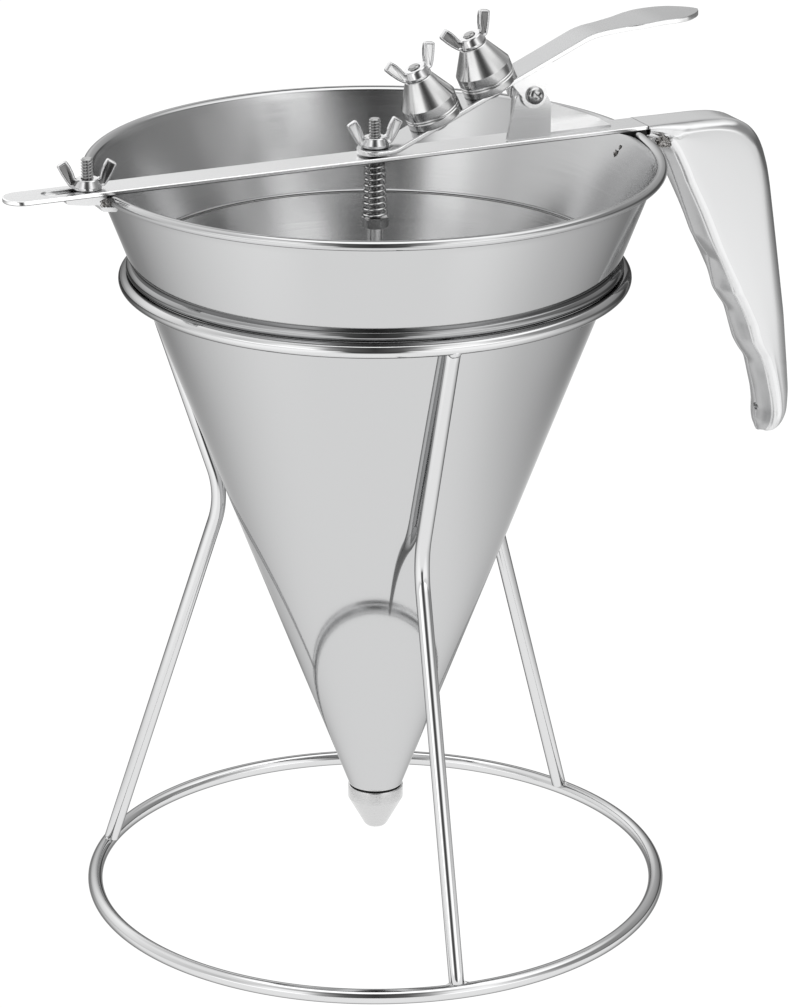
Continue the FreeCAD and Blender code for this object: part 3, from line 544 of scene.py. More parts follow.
def blob(name, centre, size, mat, seed=0, lump=0.15, rough=0.9, axis=None, level=4):
    """A lumpy weld bead; axis turns its long side."""
    bm = bmesh.new()
    bmesh.ops.create_icosphere(bm, subdivisions=level, radius=1.0)
    rot = Vector((1, 0, 0)).rotation_difference(Vector(axis)).to_matrix() if axis is not None else Matrix.Identity(3)
    for v in bm.verts:
        d = v.co.normalized()
        k = 1.0 + lump * noise.fractal(d * (1.6 * rough) + Vector((seed * 7.3, seed * 1.7, seed * 3.1)), 0.6, 2.0, 4)
        p = Vector((d.x * size[0] * k, d.y * size[1] * k, d.z * size[2] * k))
        v.co = (rot @ p + Vector(centre)) * MM
    me = bpy.data.meshes.new(name)
    crisp(bm, 60)
    bm.to_mesh(me)
    bm.free()
    me.materials.append(mat)
    o = bpy.data.objects.new(name, me)
    scene.collection.objects.link(o)
    return o


def smooth_line(pts, step, passes=0):
    """Points at even steps along a line, ironed a little."""
    p = [Vector(q) for q in pts]
    d = [0.0]
    for a, b in zip(p, p[1:]):
        d.append(d[-1] + (b - a).length)
    n = max(2, int(round(d[-1] / step)))
    out, i = [], 0
    for k in range(n + 1):
        s = d[-1] * k / n
        while i < len(p) - 2 and s > d[i + 1]:
            i += 1
        f = (s - d[i]) / max(d[i + 1] - d[i], 1e-9)
        out.append(p[i].lerp(p[i + 1], min(max(f, 0.0), 1.0)))
    for _ in range(passes):
        out = [out[0]] + [(out[i - 1] + out[i] * 2 + out[i + 1]) / 4 for i in range(1, len(out) - 1)] + [out[-1]]
    return out


def table(x, rows):
    """Value between table rows, smooth through them."""
    if x <= rows[0][0]:
        return rows[0][1]
    if x >= rows[-1][0]:
        return rows[-1][1]
    n = len(rows)
    sl = [(rows[i + 1][1] - rows[i][1]) / (rows[i + 1][0] - rows[i][0]) for i in range(n - 1)]
    for i in range(n - 1):
        x0, y0 = rows[i]
        x1, y1 = rows[i + 1]
        if x <= x1:
            m0 = sl[i] if i == 0 else (0.0 if sl[i - 1] * sl[i] <= 0 else 2 * sl[i - 1] * sl[i] / (sl[i - 1] + sl[i]))
            m1 = sl[i] if i == n - 2 else (0.0 if sl[i] * sl[i + 1] <= 0 else 2 * sl[i] * sl[i + 1] / (sl[i] + sl[i + 1]))
            h = x1 - x0
            t = (x - x0) / h
            return (y0 * (2 * t ** 3 - 3 * t ** 2 + 1) + m0 * h * (t ** 3 - 2 * t ** 2 + t)
                    + y1 * (-2 * t ** 3 + 3 * t ** 2) + m1 * h * (t ** 3 - t ** 2))


def put(o, body, slot_name, *nodes):
    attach(o, body)
    if nodes:
        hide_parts(*nodes)
    return o


def screw_thread(z0, z1, r, pitch, depth, chamfer_top=0.5, chamfer_low=0.0, around=40, per=8, taper=None):
    """Rows of a screw thread between two heights, as a closed turned shape."""
    rows = max(4, int(round((z1 - z0) / pitch * per)))
    verts, faces = [(0.0, 0.0, z0)], []
    for i in range(rows + 1):
        z = z0 + (z1 - z0) * i / rows
        for k in range(around):
            a = 2 * pi * k / around
            ph = ((z - z0) / pitch - k / around) % 1.0
            w = min(1.0, max(0.0, abs(ph - 0.5) * 2.0 * 1.25 - 0.10))
            rr = r - depth * w
            lim = r + 1
            if chamfer_top:
                lim = min(lim, r - chamfer_top + (z1 - z) * 1.0)
            if chamfer_low:
                lim = min(lim, r - chamfer_low + (z - z0) * 1.0)
            rr = min(rr, lim)
            verts.append((rr * math.cos(a), rr * math.sin(a), z))
    top = len(verts)
    verts.append((0.0, 0.0, z1))
    for i in range(rows):
        for k in range(around):
            j = (k + 1) % around
            b0, b1 = 1 + i * around, 1 + (i + 1) * around
            faces.append((b0 + k, b0 + j, b1 + j, b1 + k))
    for k in range(around):
        j = (k + 1) % around
        faces.append((0, 1 + j, 1 + k))
        b = 1 + rows * around
        faces.append((b + k, b + j, top))
    return verts, faces


def hex_nut(name, af, h, bore, mat, n=96):
    """Hex nut with the turned chamfer on both faces."""
    rc = af / 2 * 0.985
    loops = []

    def hexr(a):
        a = (a % (pi / 3)) - pi / 6
        return min(af / 2 / math.cos(a), af / 2 * 1.135)

    def row(fr, fz):
        return [(fr(2 * pi * k / n) * math.cos(2 * pi * k / n), fr(2 * pi * k / n) * math.sin(2 * pi * k / n), fz(2 * pi * k / n)) for k in range(n)]
    drop = lambda a: max(0.0, hexr(a) - rc) * 0.6
    loops.append(row(lambda a: bore, lambda a: 0.35))
    loops.append(row(lambda a: bore + 0.35, lambda a: 0.0))
    loops.append(row(lambda a: rc, lambda a: 0.0))
    loops.append(row(hexr, lambda a: drop(a) + 0.02))
    loops.append(row(hexr, lambda a: h - drop(a) - 0.02))
    loops.append(row(lambda a: rc, lambda a: h))
    loops.append(row(lambda a: bore + 0.35, lambda a: h))
    loops.append(row(lambda a: bore, lambda a: h - 0.35))
    v, f = loft(loops, False)
    last = (len(loops) - 1) * n
    for k in range(n):
        j = (k + 1) % n
        f.append((last + k, last + j, j, k))
    return make(name, v, f, mat, None, 22.0)


# ------------------------------------------------------------------ stand

WR = 2.5
o = turned("stand_base_ring_wire", [(96.6 + WR * math.cos(2 * pi * k / 36), 2.5 + WR * math.sin(2 * pi * k / 36)) for k in range(36)], M_WIRE, 320, sharp=80)
put(o, "stand", "stand_wire", "stand_base_ring")
o = turned("stand_top_ring_wire", [(81.63 + WR * math.cos(2 * pi * k / 36), 217.8 + WR * math.sin(2 * pi * k / 36)) for k in range(36)], M_WIRE, 320, sharp=80)
put(o, "stand", "stand_wire", "stand_top_ring")

LOW, UP = rad(107.9), rad(71.2)
FX, FZ, HX, HZ = 95.3, 4.4, 80.0, 215.6
det = math.cos(LOW) * math.sin(UP) - math.sin(LOW) * math.cos(UP)
run = ((HX - FX) * math.sin(UP) - (HZ - FZ) * math.cos(UP)) / det
CX, CZ = FX + run * math.cos(LOW), FZ + run * math.sin(LOW)
BR = 30.0
BT = BR * math.tan((LOW - UP) / 2)
AX, AZ = CX - BT * math.cos(LOW), CZ - BT * math.sin(LOW)
OX, OZ = AX + BR * math.sin(LOW), AZ - BR * math.cos(LOW)
LEG = [(FX + (AX - FX) * k / 30, 0, FZ + (AZ - FZ) * k / 30) for k in range(30)]
LEG += [(OX + BR * math.cos(LOW + pi / 2 + (UP - LOW) * k / 16), 0, OZ + BR * math.sin(LOW + pi / 2 + (UP - LOW) * k / 16)) for k in range(17)]
BX, BZ = LEG[-1][0], LEG[-1][2]
LEG += [(BX + (HX - BX) * k / 24, 0, BZ + (HZ - BZ) * k / 24) for k in range(1, 25)]


def leg_matrix(angle, twist):
    line = Vector((math.cos(LOW), 0, math.sin(LOW)))
    c = Vector((CX, 0, CZ))
    swing = Matrix.Translation(c) @ Matrix.Rotation(rad(twist), 4, line) @ Matrix.Translation(-c)
    return Matrix.Rotation(rad(angle), 4, "Z") @ swing


for nm, angle, twist, seed in (("front", -98.2, 2.6, 1), ("rear", 21.8, 0.0, 2), ("left", 141.8, 0.0, 3)):
    mat4 = leg_matrix(angle, twist)
    path = [mat4 @ Vector(p) for p in LEG]
    v, f = sweep(path, WR, 32, 0.25)
    leg_o = make("stand_leg_%s_wire" % nm, v, f, M_WIRE, None, 60)
    put(leg_o, "stand", "stand_wire", "stand_leg_" + nm)
    # fused weld where the head meets the top ring: a smooth pad over the joint
    head = mat4 @ Vector((HX, 0, HZ))
    out = Vector((head.x, head.y, 0)).normalized()
    side = Vector((-out.y, out.x, 0))
    w = blob("weld_head_" + nm, head + out * 1.15 + Vector((0, 0, 0.9)), (2.5, 2.55, 2.6), M_WIRE, seed, 0.05, 0.8, None, 4)
    put(w, "stand", "stand_wire")
    foot = mat4 @ Vector((FX, 0, FZ))
    fo = Vector((foot.x, foot.y, 0)).normalized()
    fs = Vector((-fo.y, fo.x, 0))
    for sgn in (-1, 1):
        w = blob("weld_foot_%s_%s" % (nm, "a" if sgn < 0 else "b"), foot + fs * (2.3 * sgn) + fo * 0.6 + Vector((0, 0, 0.25)), (1.5, 0.85, 0.8), M_WELDW, seed + sgn * 5, 0.25, 1.2, fs, 3)
        put(w, "stand", "stand_wire")

# ------------------------------------------------------------------ funnel

# cone: spun sheet with the rolled seam bead at its upper end
bead = arc(79.6, 221.95, 2.0, -118, 128, 30)
cone_out = [(9.25 + (79.0 - 9.25) * k / 40, 36.5 + (221.0 - 36.5) * k / 40) for k in range(40)]
cone_in = [(8.45 + 0.378 * 186.4 * (1 - k / 40), 36.5 + 186.4 * (1 - k / 40)) for k in range(41)]
prof = [(9.1, 36.42)] + cone_out + [(78.35, 219.3)] + bead + [(79.3, 223.35), (79.2, 223.1)] + cone_in + [(8.6, 36.42)]
v, f, s = spin(prof, 320)
first_in = 1 + len(cone_out) + 1 + len(bead) + 2
fm = [1 if i >= first_in and i < len(prof) - 1 else 2 if len(cone_out) + 2 <= i < len(cone_out) + 1 + len(bead) else 0 for i in s]
o = make("funnel_cone_sheet", v, f, [M_OUT, M_IN, M_BEAD_SHADED], fm, 25)
put(o, "funnel", "funnel_steel", "funnel_cone")

# band: rises from the seam to the rolled rim
rim = arc(93.4, 255.15, 1.6, -148, 90, 24) + [(93.4 + 2.2 * math.cos(rad(90 + 7.46 * k)), 255.15 + 1.6 * math.sin(rad(90 + 7.46 * k))) for k in range(1, 11)]
bo = [(79.95 + (92.0 - 79.95) * k / 14, 223.45 + (255.25 - 223.45) * k / 14) for k in range(15)]
bi = [(8.45 + 0.378 * (z - 36.5), z) for z in [255.5 + (222.90 - 255.5) * k / 14 for k in range(15)]]
prof = bo[:-1] + rim + bi
v, f, s = spin(prof, 320)
first_in = len(bo) - 1 + len(rim)
fm = [1 if i >= first_in and i < len(prof) - 1 else 0 for i in s]
o = make("funnel_band_sheet", v, f, [M_OUT, M_IN], fm, 25)
put(o, "funnel", "funnel_steel", "funnel_band")

# the inside weld line of the seam, dressed almost flush
o = turned("seam_line_ring", [(79.25, 222.35), (78.93, 222.42), (78.62, 222.66), (78.55, 222.9), (78.72, 223.14), (79.1, 223.36), (79.45, 223.4)], M_SEAMLINE, 320, sharp=80)
put(o, "funnel", "funnel_steel")
# the spot weld of the keeper, showing inside the band
for tag, a, z, size in (("a", 0.42, 247.9, (0.5, 0.95, 1.45)), ("b", -0.5, 250.3, (0.4, 0.5, 0.95))):
    r = 8.45 + 0.378 * (z - 36.5)
    w = blob("keeper_weld_" + tag, (r * math.cos(rad(a)), r * math.sin(rad(a)), z), size, M_SPOT, 21, 0.3, 1.4, None, 3)
    put(w, "funnel", "funnel_steel")

# spout collar, gasket and mounted nozzle
o = turned("spout_collar_ring", fillet([(4.5, 28.4), (7.0, 28.4), (7.0, 35.95), (9.1, 35.95), (9.1, 36.48), (4.5, 36.48)], [0.3, 0.4, 0.15, 0.15, 0.1, 0.1], 3), M_TURN, 128)
put(o, "funnel", "turned_steel", "spout_collar")
o = turned("nozzle_gasket_ring", fillet([(7.15, 35.4), (8.8, 35.4), (8.8, 35.93), (7.15, 35.93)], 0.15, 3), M_SEAL, 128)
put(o, "funnel", "seal_rubber", "nozzle_gasket")
nz = [(2.5, 20.2), (3.3, 20.2), (3.9, 20.8), (9.4, 30.7), (9.4, 35.3), (7.1, 35.3), (7.1, 28.0), (4.78, 28.0), (2.5, 24.2)]
o = turned("nozzle_body", fillet(nz, [0.25, 0.3, 0.35, 0.45, 0.4, 0.3, 0.1, 0.1, 0.15], 4), M_TURN, 160)
put(o, "nozzle_cap", "turned_steel", "nozzle")

# ------------------------------------------------------------------ bar

BW, BZ0, BTK = 6.0, 256.8, 1.5
pts = [(97.0, -BW), (97.0, BW)] + [(-121.6 + 6.0 * math.cos(rad(a)), 6.0 * math.sin(rad(a))) for a in range(90, 271, 6)]
n = len(pts)
verts = [(x, y, BZ0) for x, y in pts] + [(x, y, BZ0 + BTK) for x, y in pts]
faces = [tuple(range(n)), tuple(range(2 * n - 1, n - 1, -1))] + [(k, (k + 1) % n, n + (k + 1) % n, n + k) for k in range(n)]
bar = make("carrying_bar", verts, faces, M_BAR)
sl = arc(-112.4, 0, 2.4, 90, 270, 16) + arc(-99.3, 0, 2.4, -90, 90, 16)
n = len(sl)
verts = [(x, y, BZ0 - 2) for x, y in sl] + [(x, y, BZ0 + 4) for x, y in sl]
faces = [tuple(range(n)), tuple(range(2 * n - 1, n - 1, -1))] + [(k, (k + 1) % n, n + (k + 1) % n, n + k) for k in range(n)]
boolean(bar, make("tool", verts, faces, M_BAR))
v, f, s = spin([(0, BZ0 - 2), (2.12, BZ0 - 2), (2.12, BZ0 + 4), (0, BZ0 + 4)], 48, False)
boolean(bar, make("tool", v, f, M_BAR))
soften(bar, 0.32, 3)
bar.data.materials.append(M_TOP_EDGE_LIT)
bar.data.materials.append(M_LOW_EDGE_SHADE)
# edge faces: upper ones get the painted highlight, lower ones the painted shade
for pl in bar.data.polygons:
    if abs(pl.normal.z) < 0.97 and (abs(pl.center.y) > 0.004 or pl.center.x < -0.118):
        pl.material_index = 1 if pl.normal.z > -0.2 else 2
put(bar, "funnel", "bar_steel", "handle_bar")

# ------------------------------------------------------------------ grip

OUTER = [(97.1, 258.3), (103, 258.3), (110, 258.3), (118.5, 258.3), (126, 257.9), (131.5, 256.6), (135.8, 254.1), (138.9, 250.5), (141, 246.0), (142.9, 239.8),
         (144.1, 233.8), (146.1, 221.0), (148.7, 203.7), (151.3, 186.1), (153.1, 168.6), (153.9, 158.3), (153.4, 151.0),
         (151.4, 146.7), (148.2, 143.5)]
INNER = [(97.1, 254.0), (99.8, 253.2), (102.0, 252.4), (103.2, 254.0 - 2.6), (105.6, 249.0 - 1.0), (108.8, 241.5), (112.2, 233.0), (115.6, 224.0), (118.6, 216.2), (121.6, 211.8), (124.2, 208.5),
         (125.6, 202.5), (127.0, 196.3), (129.4, 192.6), (132.1, 189.0), (133.7, 183.0), (135.6, 177.0), (137.8, 173.2),
         (140.6, 169.5), (142.0, 163.5), (143.6, 157.5), (144.8, 151.5), (144.6, 146.5), (145.4, 142.7)]
CREASE = [(95.0, 256.5), (99.5, 255.2), (102.9, 253.0), (107.7, 244.3), (116.9, 226.2), (123.5, 211.0), (131.7, 195.1), (139.7, 178.6), (144.4, 166.4), (147.6, 154.0),
          (148.4, 147.0), (148.2, 140.0)]
PAIR = [((97.1, 258.3), (97.1, 254.0)), ((101, 258.3), (99.8, 253.2)), ((106, 258.3), (102.0, 252.4)), ((114, 258.3), (103.6, 250.9)),
        ((122, 258.2), (105.6, 248.0)), ((130, 257.0), (107.9, 243.5)), ((136, 253.9), (109.8, 239.0)), ((140, 248.4), (112.2, 233.0)),
        ((142.6, 240.8), (114.6, 226.7)), ((144.2, 233.0), (116.7, 221.2)), ((145.9, 222.0), (119.5, 214.9)), ((147.3, 213.0), (123.2, 209.7)),
        ((148.9, 202.5), (125.9, 201.3)), ((150.3, 193.0), (129.4, 192.6)), ((151.9, 180.2), (134.6, 180.1)), ((153.1, 168.6), (140.6, 169.5)),
        ((153.9, 158.3), (143.6, 157.5)), ((153.5, 152.0), (144.8, 151.5)), ((151.4, 146.7), (144.6, 146.5)), ((148.2, 143.5), (145.4, 142.7))]


def along_line(pts, p):
    """How far along a line its nearest point to p lies."""
    p = Vector(p)
    best, s, where = 1e9, 0.0, 0.0
    for a, b in zip(pts, pts[1:]):
        d = b - a
        t = min(max((p - a).dot(d) / max(d.length_squared, 1e-12), 0.0), 1.0)
        g = (a + d * t - p).length
        if g < best:
            best, where = g, s + d.length * t
        s += d.length
    return where


def point_on(pts, s):
    for a, b in zip(pts, pts[1:]):
        l = (b - a).length
        if s <= l:
            return a.lerp(b, s / max(l, 1e-12))
        s -= l
    return pts[-1].copy()


def hit(a, d, line):
    """Distance from a along d to a polyline, or None."""
    best = None
    for p, q in zip(line, line[1:]):
        e = q - p
        den = d.x * e.y - d.y * e.x
        if abs(den) < 1e-9:
            continue
        w = p - a
        t = (w.x * e.y - w.y * e.x) / den
        u = (w.x * d.y - w.y * d.x) / den
        if -0.001 <= u <= 1.001 and t > -6 and (best is None or abs(t) < abs(best)):
            best = t
    return best


out_l = smooth_line(OUTER, 0.6, 10)
in_l = smooth_line(INNER, 0.5, 6)
cr_l = smooth_line(CREASE, 1.0, 8)
ps = [(along_line(out_l, a), along_line(in_l, b)) for a, b in PAIR]
N = 190
key = [0.0]
for (a, b), (c, d) in zip(ps, ps[1:]):
    key.append(key[-1] + max(abs(c - a), abs(d - b)))
loops = []
for i in range(N + 1):
    # stations crowd towards the rounded foot
    tt = i / N
    tt = 1 - (1 - tt) ** 1.15
    s = key[-1] * tt
    j = 0
    while j < len(key) - 2 and s > key[j + 1]:
        j += 1
    fr = (s - key[j]) / (key[j + 1] - key[j])
    so = ps[j][0] + (ps[j + 1][0] - ps[j][0]) * fr
    si = ps[j][1] + (ps[j + 1][1] - ps[j][1]) * fr
    O, I = point_on(out_l, so), point_on(in_l, si)
    L = (O - I).length
    u = (O - I).normalized()
    dc = hit(I, u, cr_l)
    dc = 1.2 if dc is None else min(max(dc, 0.7), 3.6)
    start = min(1.0, s / 16.0)
    start = start * start * (3 - 2 * start)
    left = key[-1] - s
    foot = min(1.0, max(left, 0.0) / 9.0)
    foot = math.sqrt(max(0.0, 1 - (1 - foot) ** 2))
    w = (7.6 + 1.75 * start) * (0.42 + 0.58 * foot)
    flat = (5.6 - 0.9 * start) * (0.35 + 0.65 * foot)
    rs = min(2.6 + 3.4 * start, L * 0.46)
    c1 = 2.4
    k = min(1.0, L * 0.92 / (dc + c1 + rs))
    dc, c1, rs = dc * k, c1 * k, rs * k
    g = 0.5 * min(1.0, max(0.0, (s - 22.0) / 10.0)) * foot
    half = [(g, 0.0), (g * 0.25, 0.28), (0.0, 0.62)]
    for m in range(1, 8):
        q = m / 8
        half.append((dc * 0.86 * q ** 1.7, 0.62 + (w - 2.3 - 0.62) * q))
    for m in range(0, 7):
        a = pi / 2 * m / 6
        half.append((dc * 0.86 + (dc * 0.14 + c1) * (1 - math.cos(a)), w - 2.3 + 2.3 * math.sin(a)))
    for m in range(1, 8):
        q = m / 8
        half.append((dc + c1 + (L - rs - dc - c1) * q, w + 0.12 * math.sin(pi * q)))
    for m in range(0, 11):
        a = pi / 2 * m / 10
        half.append((L - rs + rs * math.sin(a), flat + (w - flat) * math.cos(a)))
    half += [(L, flat * 0.7), (L, flat * 0.35), (L, 0.0)]
    ring = [(I.x + u.x * a, -b, I.y + u.y * a) for a, b in half] + [(I.x + u.x * a, b, I.y + u.y * a) for a, b in reversed(half[1:-1])]
    loops.append(ring)
v, f = loft(loops)
ncol = len(loops[0])
# columns of the finger face get the painted-shade copy, the bend the painted-highlight copy
fm = []
for i in range(len(f)):
    kk = i % ncol if i < ncol * (len(loops) - 1) else 20
    kk = kk if kk < ncol // 2 else ncol - 1 - kk
    fm.append(1 if kk <= 9 else 2 if kk <= 15 else 0)
grip = make("grip_shell", v, f, [M_GRIP, M_FINGER_SHADED, M_CREASE_LIT], fm, 48)
v, fcs, s = spin([(0, -6), (1.25, -6), (1.25, 1.2), (0, 1.2)], 40, False)
v = [(144.5 + c, a * 1.5, 151.2 + b) for a, b, c in v]
boolean(grip, make("tool", v, fcs, M_GRIP))
recrisp(grip, 48)
put(grip, "funnel", "bar_steel", "handle_grip")
tooth = prism("grip_tooth", fillet([(104.0, 253.6), (100.2, 252.4), (96.6, 250.9), (95.4, 251.4), (95.4, 252.5), (97.3, 254.3), (104.0, 256.0)], 0.35, 3), -2.6, 2.6, M_GRIP)
soften(tooth, 0.25, 2)
put(tooth, "funnel", "bar_steel")
w = blob("grip_weld", (101.6, -8.35, 252.9), (2.5, 1.25, 1.75), M_WELD, 4, 0.42, 1.6, (1, 0, -0.35), 5)
put(w, "funnel", "bar_steel")
w = blob("grip_weld_far", (101.8, 8.35, 252.9), (2.3, 1.2, 1.6), M_WELD, 9, 0.42, 1.6, (1, 0, -0.3), 5)
put(w, "funnel", "bar_steel")
# the blend line of the weld, a low wavy ridge on the near side
ridge = [(103.6 + 0.62 * k, -9.28 - 0.02 * math.sin(k), 253.6 + 0.42 * math.sin(k * 0.8) + 0.05 * k) for k in range(12)]
v, f = sweep(ridge, [0.12 + 0.22 * math.sin(pi * (k + 0.8) / 12.6) for k in range(12)], 10, 0.05)
w = make("grip_weld_line", v, f, M_WELDW, None, 60)
put(w, "funnel", "bar_steel")

# ------------------------------------------------------------------ rim clamp

zt = 256.75
hook = prism("clamp_hook", fillet([(-108.6, zt), (-108.3, 255.3), (-101.5, 254.2), (-97.6, 254.0), (-96.4, 251.6), (-91.4, 251.0),
                                   (-91.4, 252.4), (-95.2, 253.0), (-94.6, 255.0), (-95.0, zt)], [0.4, 0.8, 2.0, 1.2, 0.8, 0.6, 0.5, 0.6, 0.8, 0.3], 4), -5.0, 5.0, M_BAR,
             )
v, f, s = spin([(0, 250.0), (2.05, 250.0), (2.05, 259.0), (0, 259.0)], 40, False)
boolean(hook, make("tool", [(a - 99.5, b, c) for a, b, c in v], f, M_BAR))
soften(hook, 0.45, 3)
put(hook, "funnel", "bar_steel", "rim_clamp_hook")
# dark weld beads set high on the hook by the rim: welds that also stand in as painted shade in the gap between hook and
# rim
w = blob("clamp_weld_and_shade_a", (-95.6, -4.4, 254.3), (1.9, 1.1, 1.7), M_WELD, 12, 0.35, 1.5, (1, 0, -0.5), 4)
put(w, "funnel", "bar_steel")
w = blob("clamp_weld_and_shade_b", (-95.6, 4.4, 254.3), (1.9, 1.1, 1.7), M_WELD, 14, 0.35, 1.5, (1, 0, -0.5), 4)
put(w, "funnel", "bar_steel")
v, f = screw_thread(BZ0 - 1.4, 268.3, 2.0, 0.95, 0.5, 0.5, 0.0, 40, 10)
th = make("stud_thread", [(a - 99.5, b, c) for a, b, c in v], f, M_THREAD_SHADED, None, 50)
hd = turned("stud_head", fillet([(0, 253.5), (2.0, 253.5), (2.6, 254.1), (2.6, 255.2), (0, 255.2)], [0, 0.3, 0.3, 0.2, 0], 3, False), M_SCREW, 64, False)
hd.data.transform(Matrix.Translation((-99.5 * MM, 0, 0)))
o = join("clamp_stud_screw", th, hd)
put(o, "funnel", "screw_steel", "clamp_stud")

kx = 92.05 - 0.4
kp = prism("rim_keeper_plate", fillet([(kx - 0.65, 252.6), (kx - 5.65, 239.4), (kx - 4.55, 239.2), (kx + 0.25, 251.4), (kx + 3.2, 251.4), (kx + 3.2, 252.6)], [0.4, 0.3, 0.4, 0.5, 0.3, 0.3], 3), -4.5, 4.5, M_BAR)
soften(kp, 0.3, 3)
put(kp, "funnel", "bar_steel", "rim_keeper")

# a black wedge under the bar end inside the rim: painted shade where there is only the shadowed gap
wd = prism("bar_end_painted_shade", [(86.2, 256.82), (96.7, 256.82), (96.7, 253.0), (95.6, 252.8), (93.6, 253.6), (90.6, 255.3)], -5.8, 5.2, M_SHADE)
soften(wd, 0.2, 2)
put(wd, "funnel", "bar_steel")

# ------------------------------------------------------------------ lever hinge

hx, hz = 54.6, 273.4
top_arc = [(61.3, 270.0), (58.6, 274.6), (57.2, 276.4), (54.6, 277.2), (52.2, 276.6), (50.6, 274.8)]
near = fillet([(45.4, 258.34), (61.3, 258.34)] + top_arc + [(48.7, 272.8)], [0.3, 0.3, 1.5, 2.0, 2.0, 2.0, 2.0, 2.0, 2.0], 4)
far = fillet([(50.8, 258.34), (84.0, 258.34), (84.0, 260.1), (64.3, 267.8)] + top_arc[1:-1] + [(53.0, 277.0), (51.7, 275.2)], [0.3, 0.3, 0.4, 4.0, 2.0, 2.0, 2.0, 2.0, 1.0, 1.0], 4)
a = prism("brk_near", near, -4.8, -3.4, M_BRACKET, [(hx, hz, 1.55)])
b = prism("brk_far", far, 3.4, 4.8, M_BRACKET, [(hx, hz, 1.55)])
c = prism("brk_foot", [(50.8, 258.32), (84.0, 258.32), (84.0, 259.7), (50.8, 259.7)], -4.1, 4.1, M_BRACKET)
boolean(a, c, "UNION")
boolean(a, b, "UNION")
a.name = "hinge_bracket_sheet"
round_edges(a, lambda p, q: max(p.z, q.z) < 258.36 and min(abs(p.y), abs(q.y)) > 4.78 and p.y * q.y > 0, 1.15, 5)
soften(a, 0.22, 3)
a.data.materials.append(M_BRACKET_FAR_LIT)
# faces of the far wall take the painted-light copy
for pl in a.data.polygons:
    if pl.center.y > 0.0033:
        pl.material_index = 1
put(a, "funnel", "bar_steel", "hinge_bracket")


def across(o, x, y, z):
    """Lay a turned piece drawn along +Z so that +Z points to the front (-Y)."""
    o.matrix_world = Matrix.Translation((x * MM, y * MM, z * MM)) @ Matrix.Rotation(rad(90), 4, "X")
    return o


def cross_cut(o, r, depth, top, w=0.75):
    for ang in (45, 135):
        rot = Matrix.Rotation(rad(ang), 3, "Z")
        boolean(o, box_tool(-r, r, -w / 2, w / 2, top - depth, top + 1.0, M_SCREW, rot))
    return o


hs = turned("hinge_screw_pan", fillet([(0, -8.0), (1.2, -8.0), (1.5, -7.7), (1.5, 6.25), (2.95, 6.25), (2.95, 7.1), (2.55, 7.85), (1.6, 8.4), (0, 8.55)],
                                      [0, 0.1, 0.1, 0.1, 0.15, 0.5, 1.0, 1.5, 0], 4, False), M_SCREW, 72, False)
cross_cut(hs, 1.75, 1.3, 8.55)
soften(hs, 0.1, 2, 45)
across(hs, hx, 0, hz)
put(hs, "funnel", "screw_steel", "hinge_screw")
hn = hex_nut("hinge_nut_hex", 5.5, 1.6, 1.52, M_SCREW)
hn.matrix_world = Matrix.Translation((hx * MM, 7.85 * MM, hz * MM)) @ Matrix.Rotation(rad(90), 4, "X")
put(hn, "funnel", "screw_steel", "hinge_nut")

# ------------------------------------------------------------------ lever

LA = rad(23.8)
LZ, LB, LT = 260.6, 4.6, 1.8
KZ = LZ + (75.2 - LB) * math.tan(LA)
line = fillet([(-6.0, LZ), (LB, LZ), (75.2, KZ), (99.5, KZ + 2.9), (117.6, KZ + 3.1)], [0, 9.0, 26.0, 60.0, 0], 14, False)
line = smooth_line([Vector(p) for p in line], 0.35, 0)
WID = [(0, 6.0), (80, 6.0), (88, 6.9), (94, 8.5), (99, 9.0), (105, 9.0), (109.5, 8.2), (113.2, 6.0), (115.8, 3.6), (117.0, 1.9), (117.6, 0.35)]


def lever_half(x):
    if x < 0:
        return math.sqrt(max(0.05, 36.0 - x * x))
    return table(x, WID)


loops = []
for i, p in enumerate(line):
    if 8 < p.x < 70 and i % 4 and i != len(line) - 1:
        continue
    t = (line[min(i + 1, len(line) - 1)] - line[max(i - 1, 0)]).normalized()
    nrm = Vector((-t.y, t.x))
    w = lever_half(p.x)
    r = min(0.42, w * 0.6)
    prof = []
    for cy, cu, a0 in ((w - r, -r, 0), (-(w - r), -r, 90), (-(w - r), -LT + r, 180), (w - r, -LT + r, 270)):
        for k in range(5):
            a = rad(a0 + 90 * k / 4)
            prof.append((cy + r * math.cos(a), cu + r * math.sin(a)))
    loops.append([(p.x + nrm.x * uu, yy, p.y + nrm.y * uu) for yy, uu in prof])
v, f = loft(loops)
lev = make("thumb_lever", v, f, [M_LEVER, M_SIDE_LIT], None, 50)
sl = arc(-0.2, 0, 2.3, 90, 270, 16) + arc(1.7, 0, 2.3, -90, 90, 16)
n = len(sl)
verts = [(x, y, 255) for x, y in sl] + [(x, y, 264) for x, y in sl]
faces = [tuple(range(n)), tuple(range(2 * n - 1, n - 1, -1))] + [(k, (k + 1) % n, n + (k + 1) % n, n + k) for k in range(n)]
boolean(lev, make("tool", verts, faces, M_BAR))
# faces that do not face up get the painted-light side copy
for pl in lev.data.polygons:
    if pl.normal.z < 0.35:
        pl.material_index = 1
recrisp(lev, 50)
wn = lev.modifiers.new("flat", "WEIGHTED_NORMAL")
wn.keep_sharp = True
put(lev, "lever", "bar_steel", "lever_arm")

DZ = LT / math.cos(LA)


def under(x, down):
    return (x, LZ + (x - LB) * math.tan(LA) - DZ - down)


er = 4.5
arcp = [(hx + er * math.cos(rad(t)), hz + er * math.sin(rad(t))) for t in range(14, -181, -8)]
ear = fillet([under(46.7, -0.3), under(61.8, -0.3)] + arcp, [0, 0.5] + [0] * len(arcp), 3)
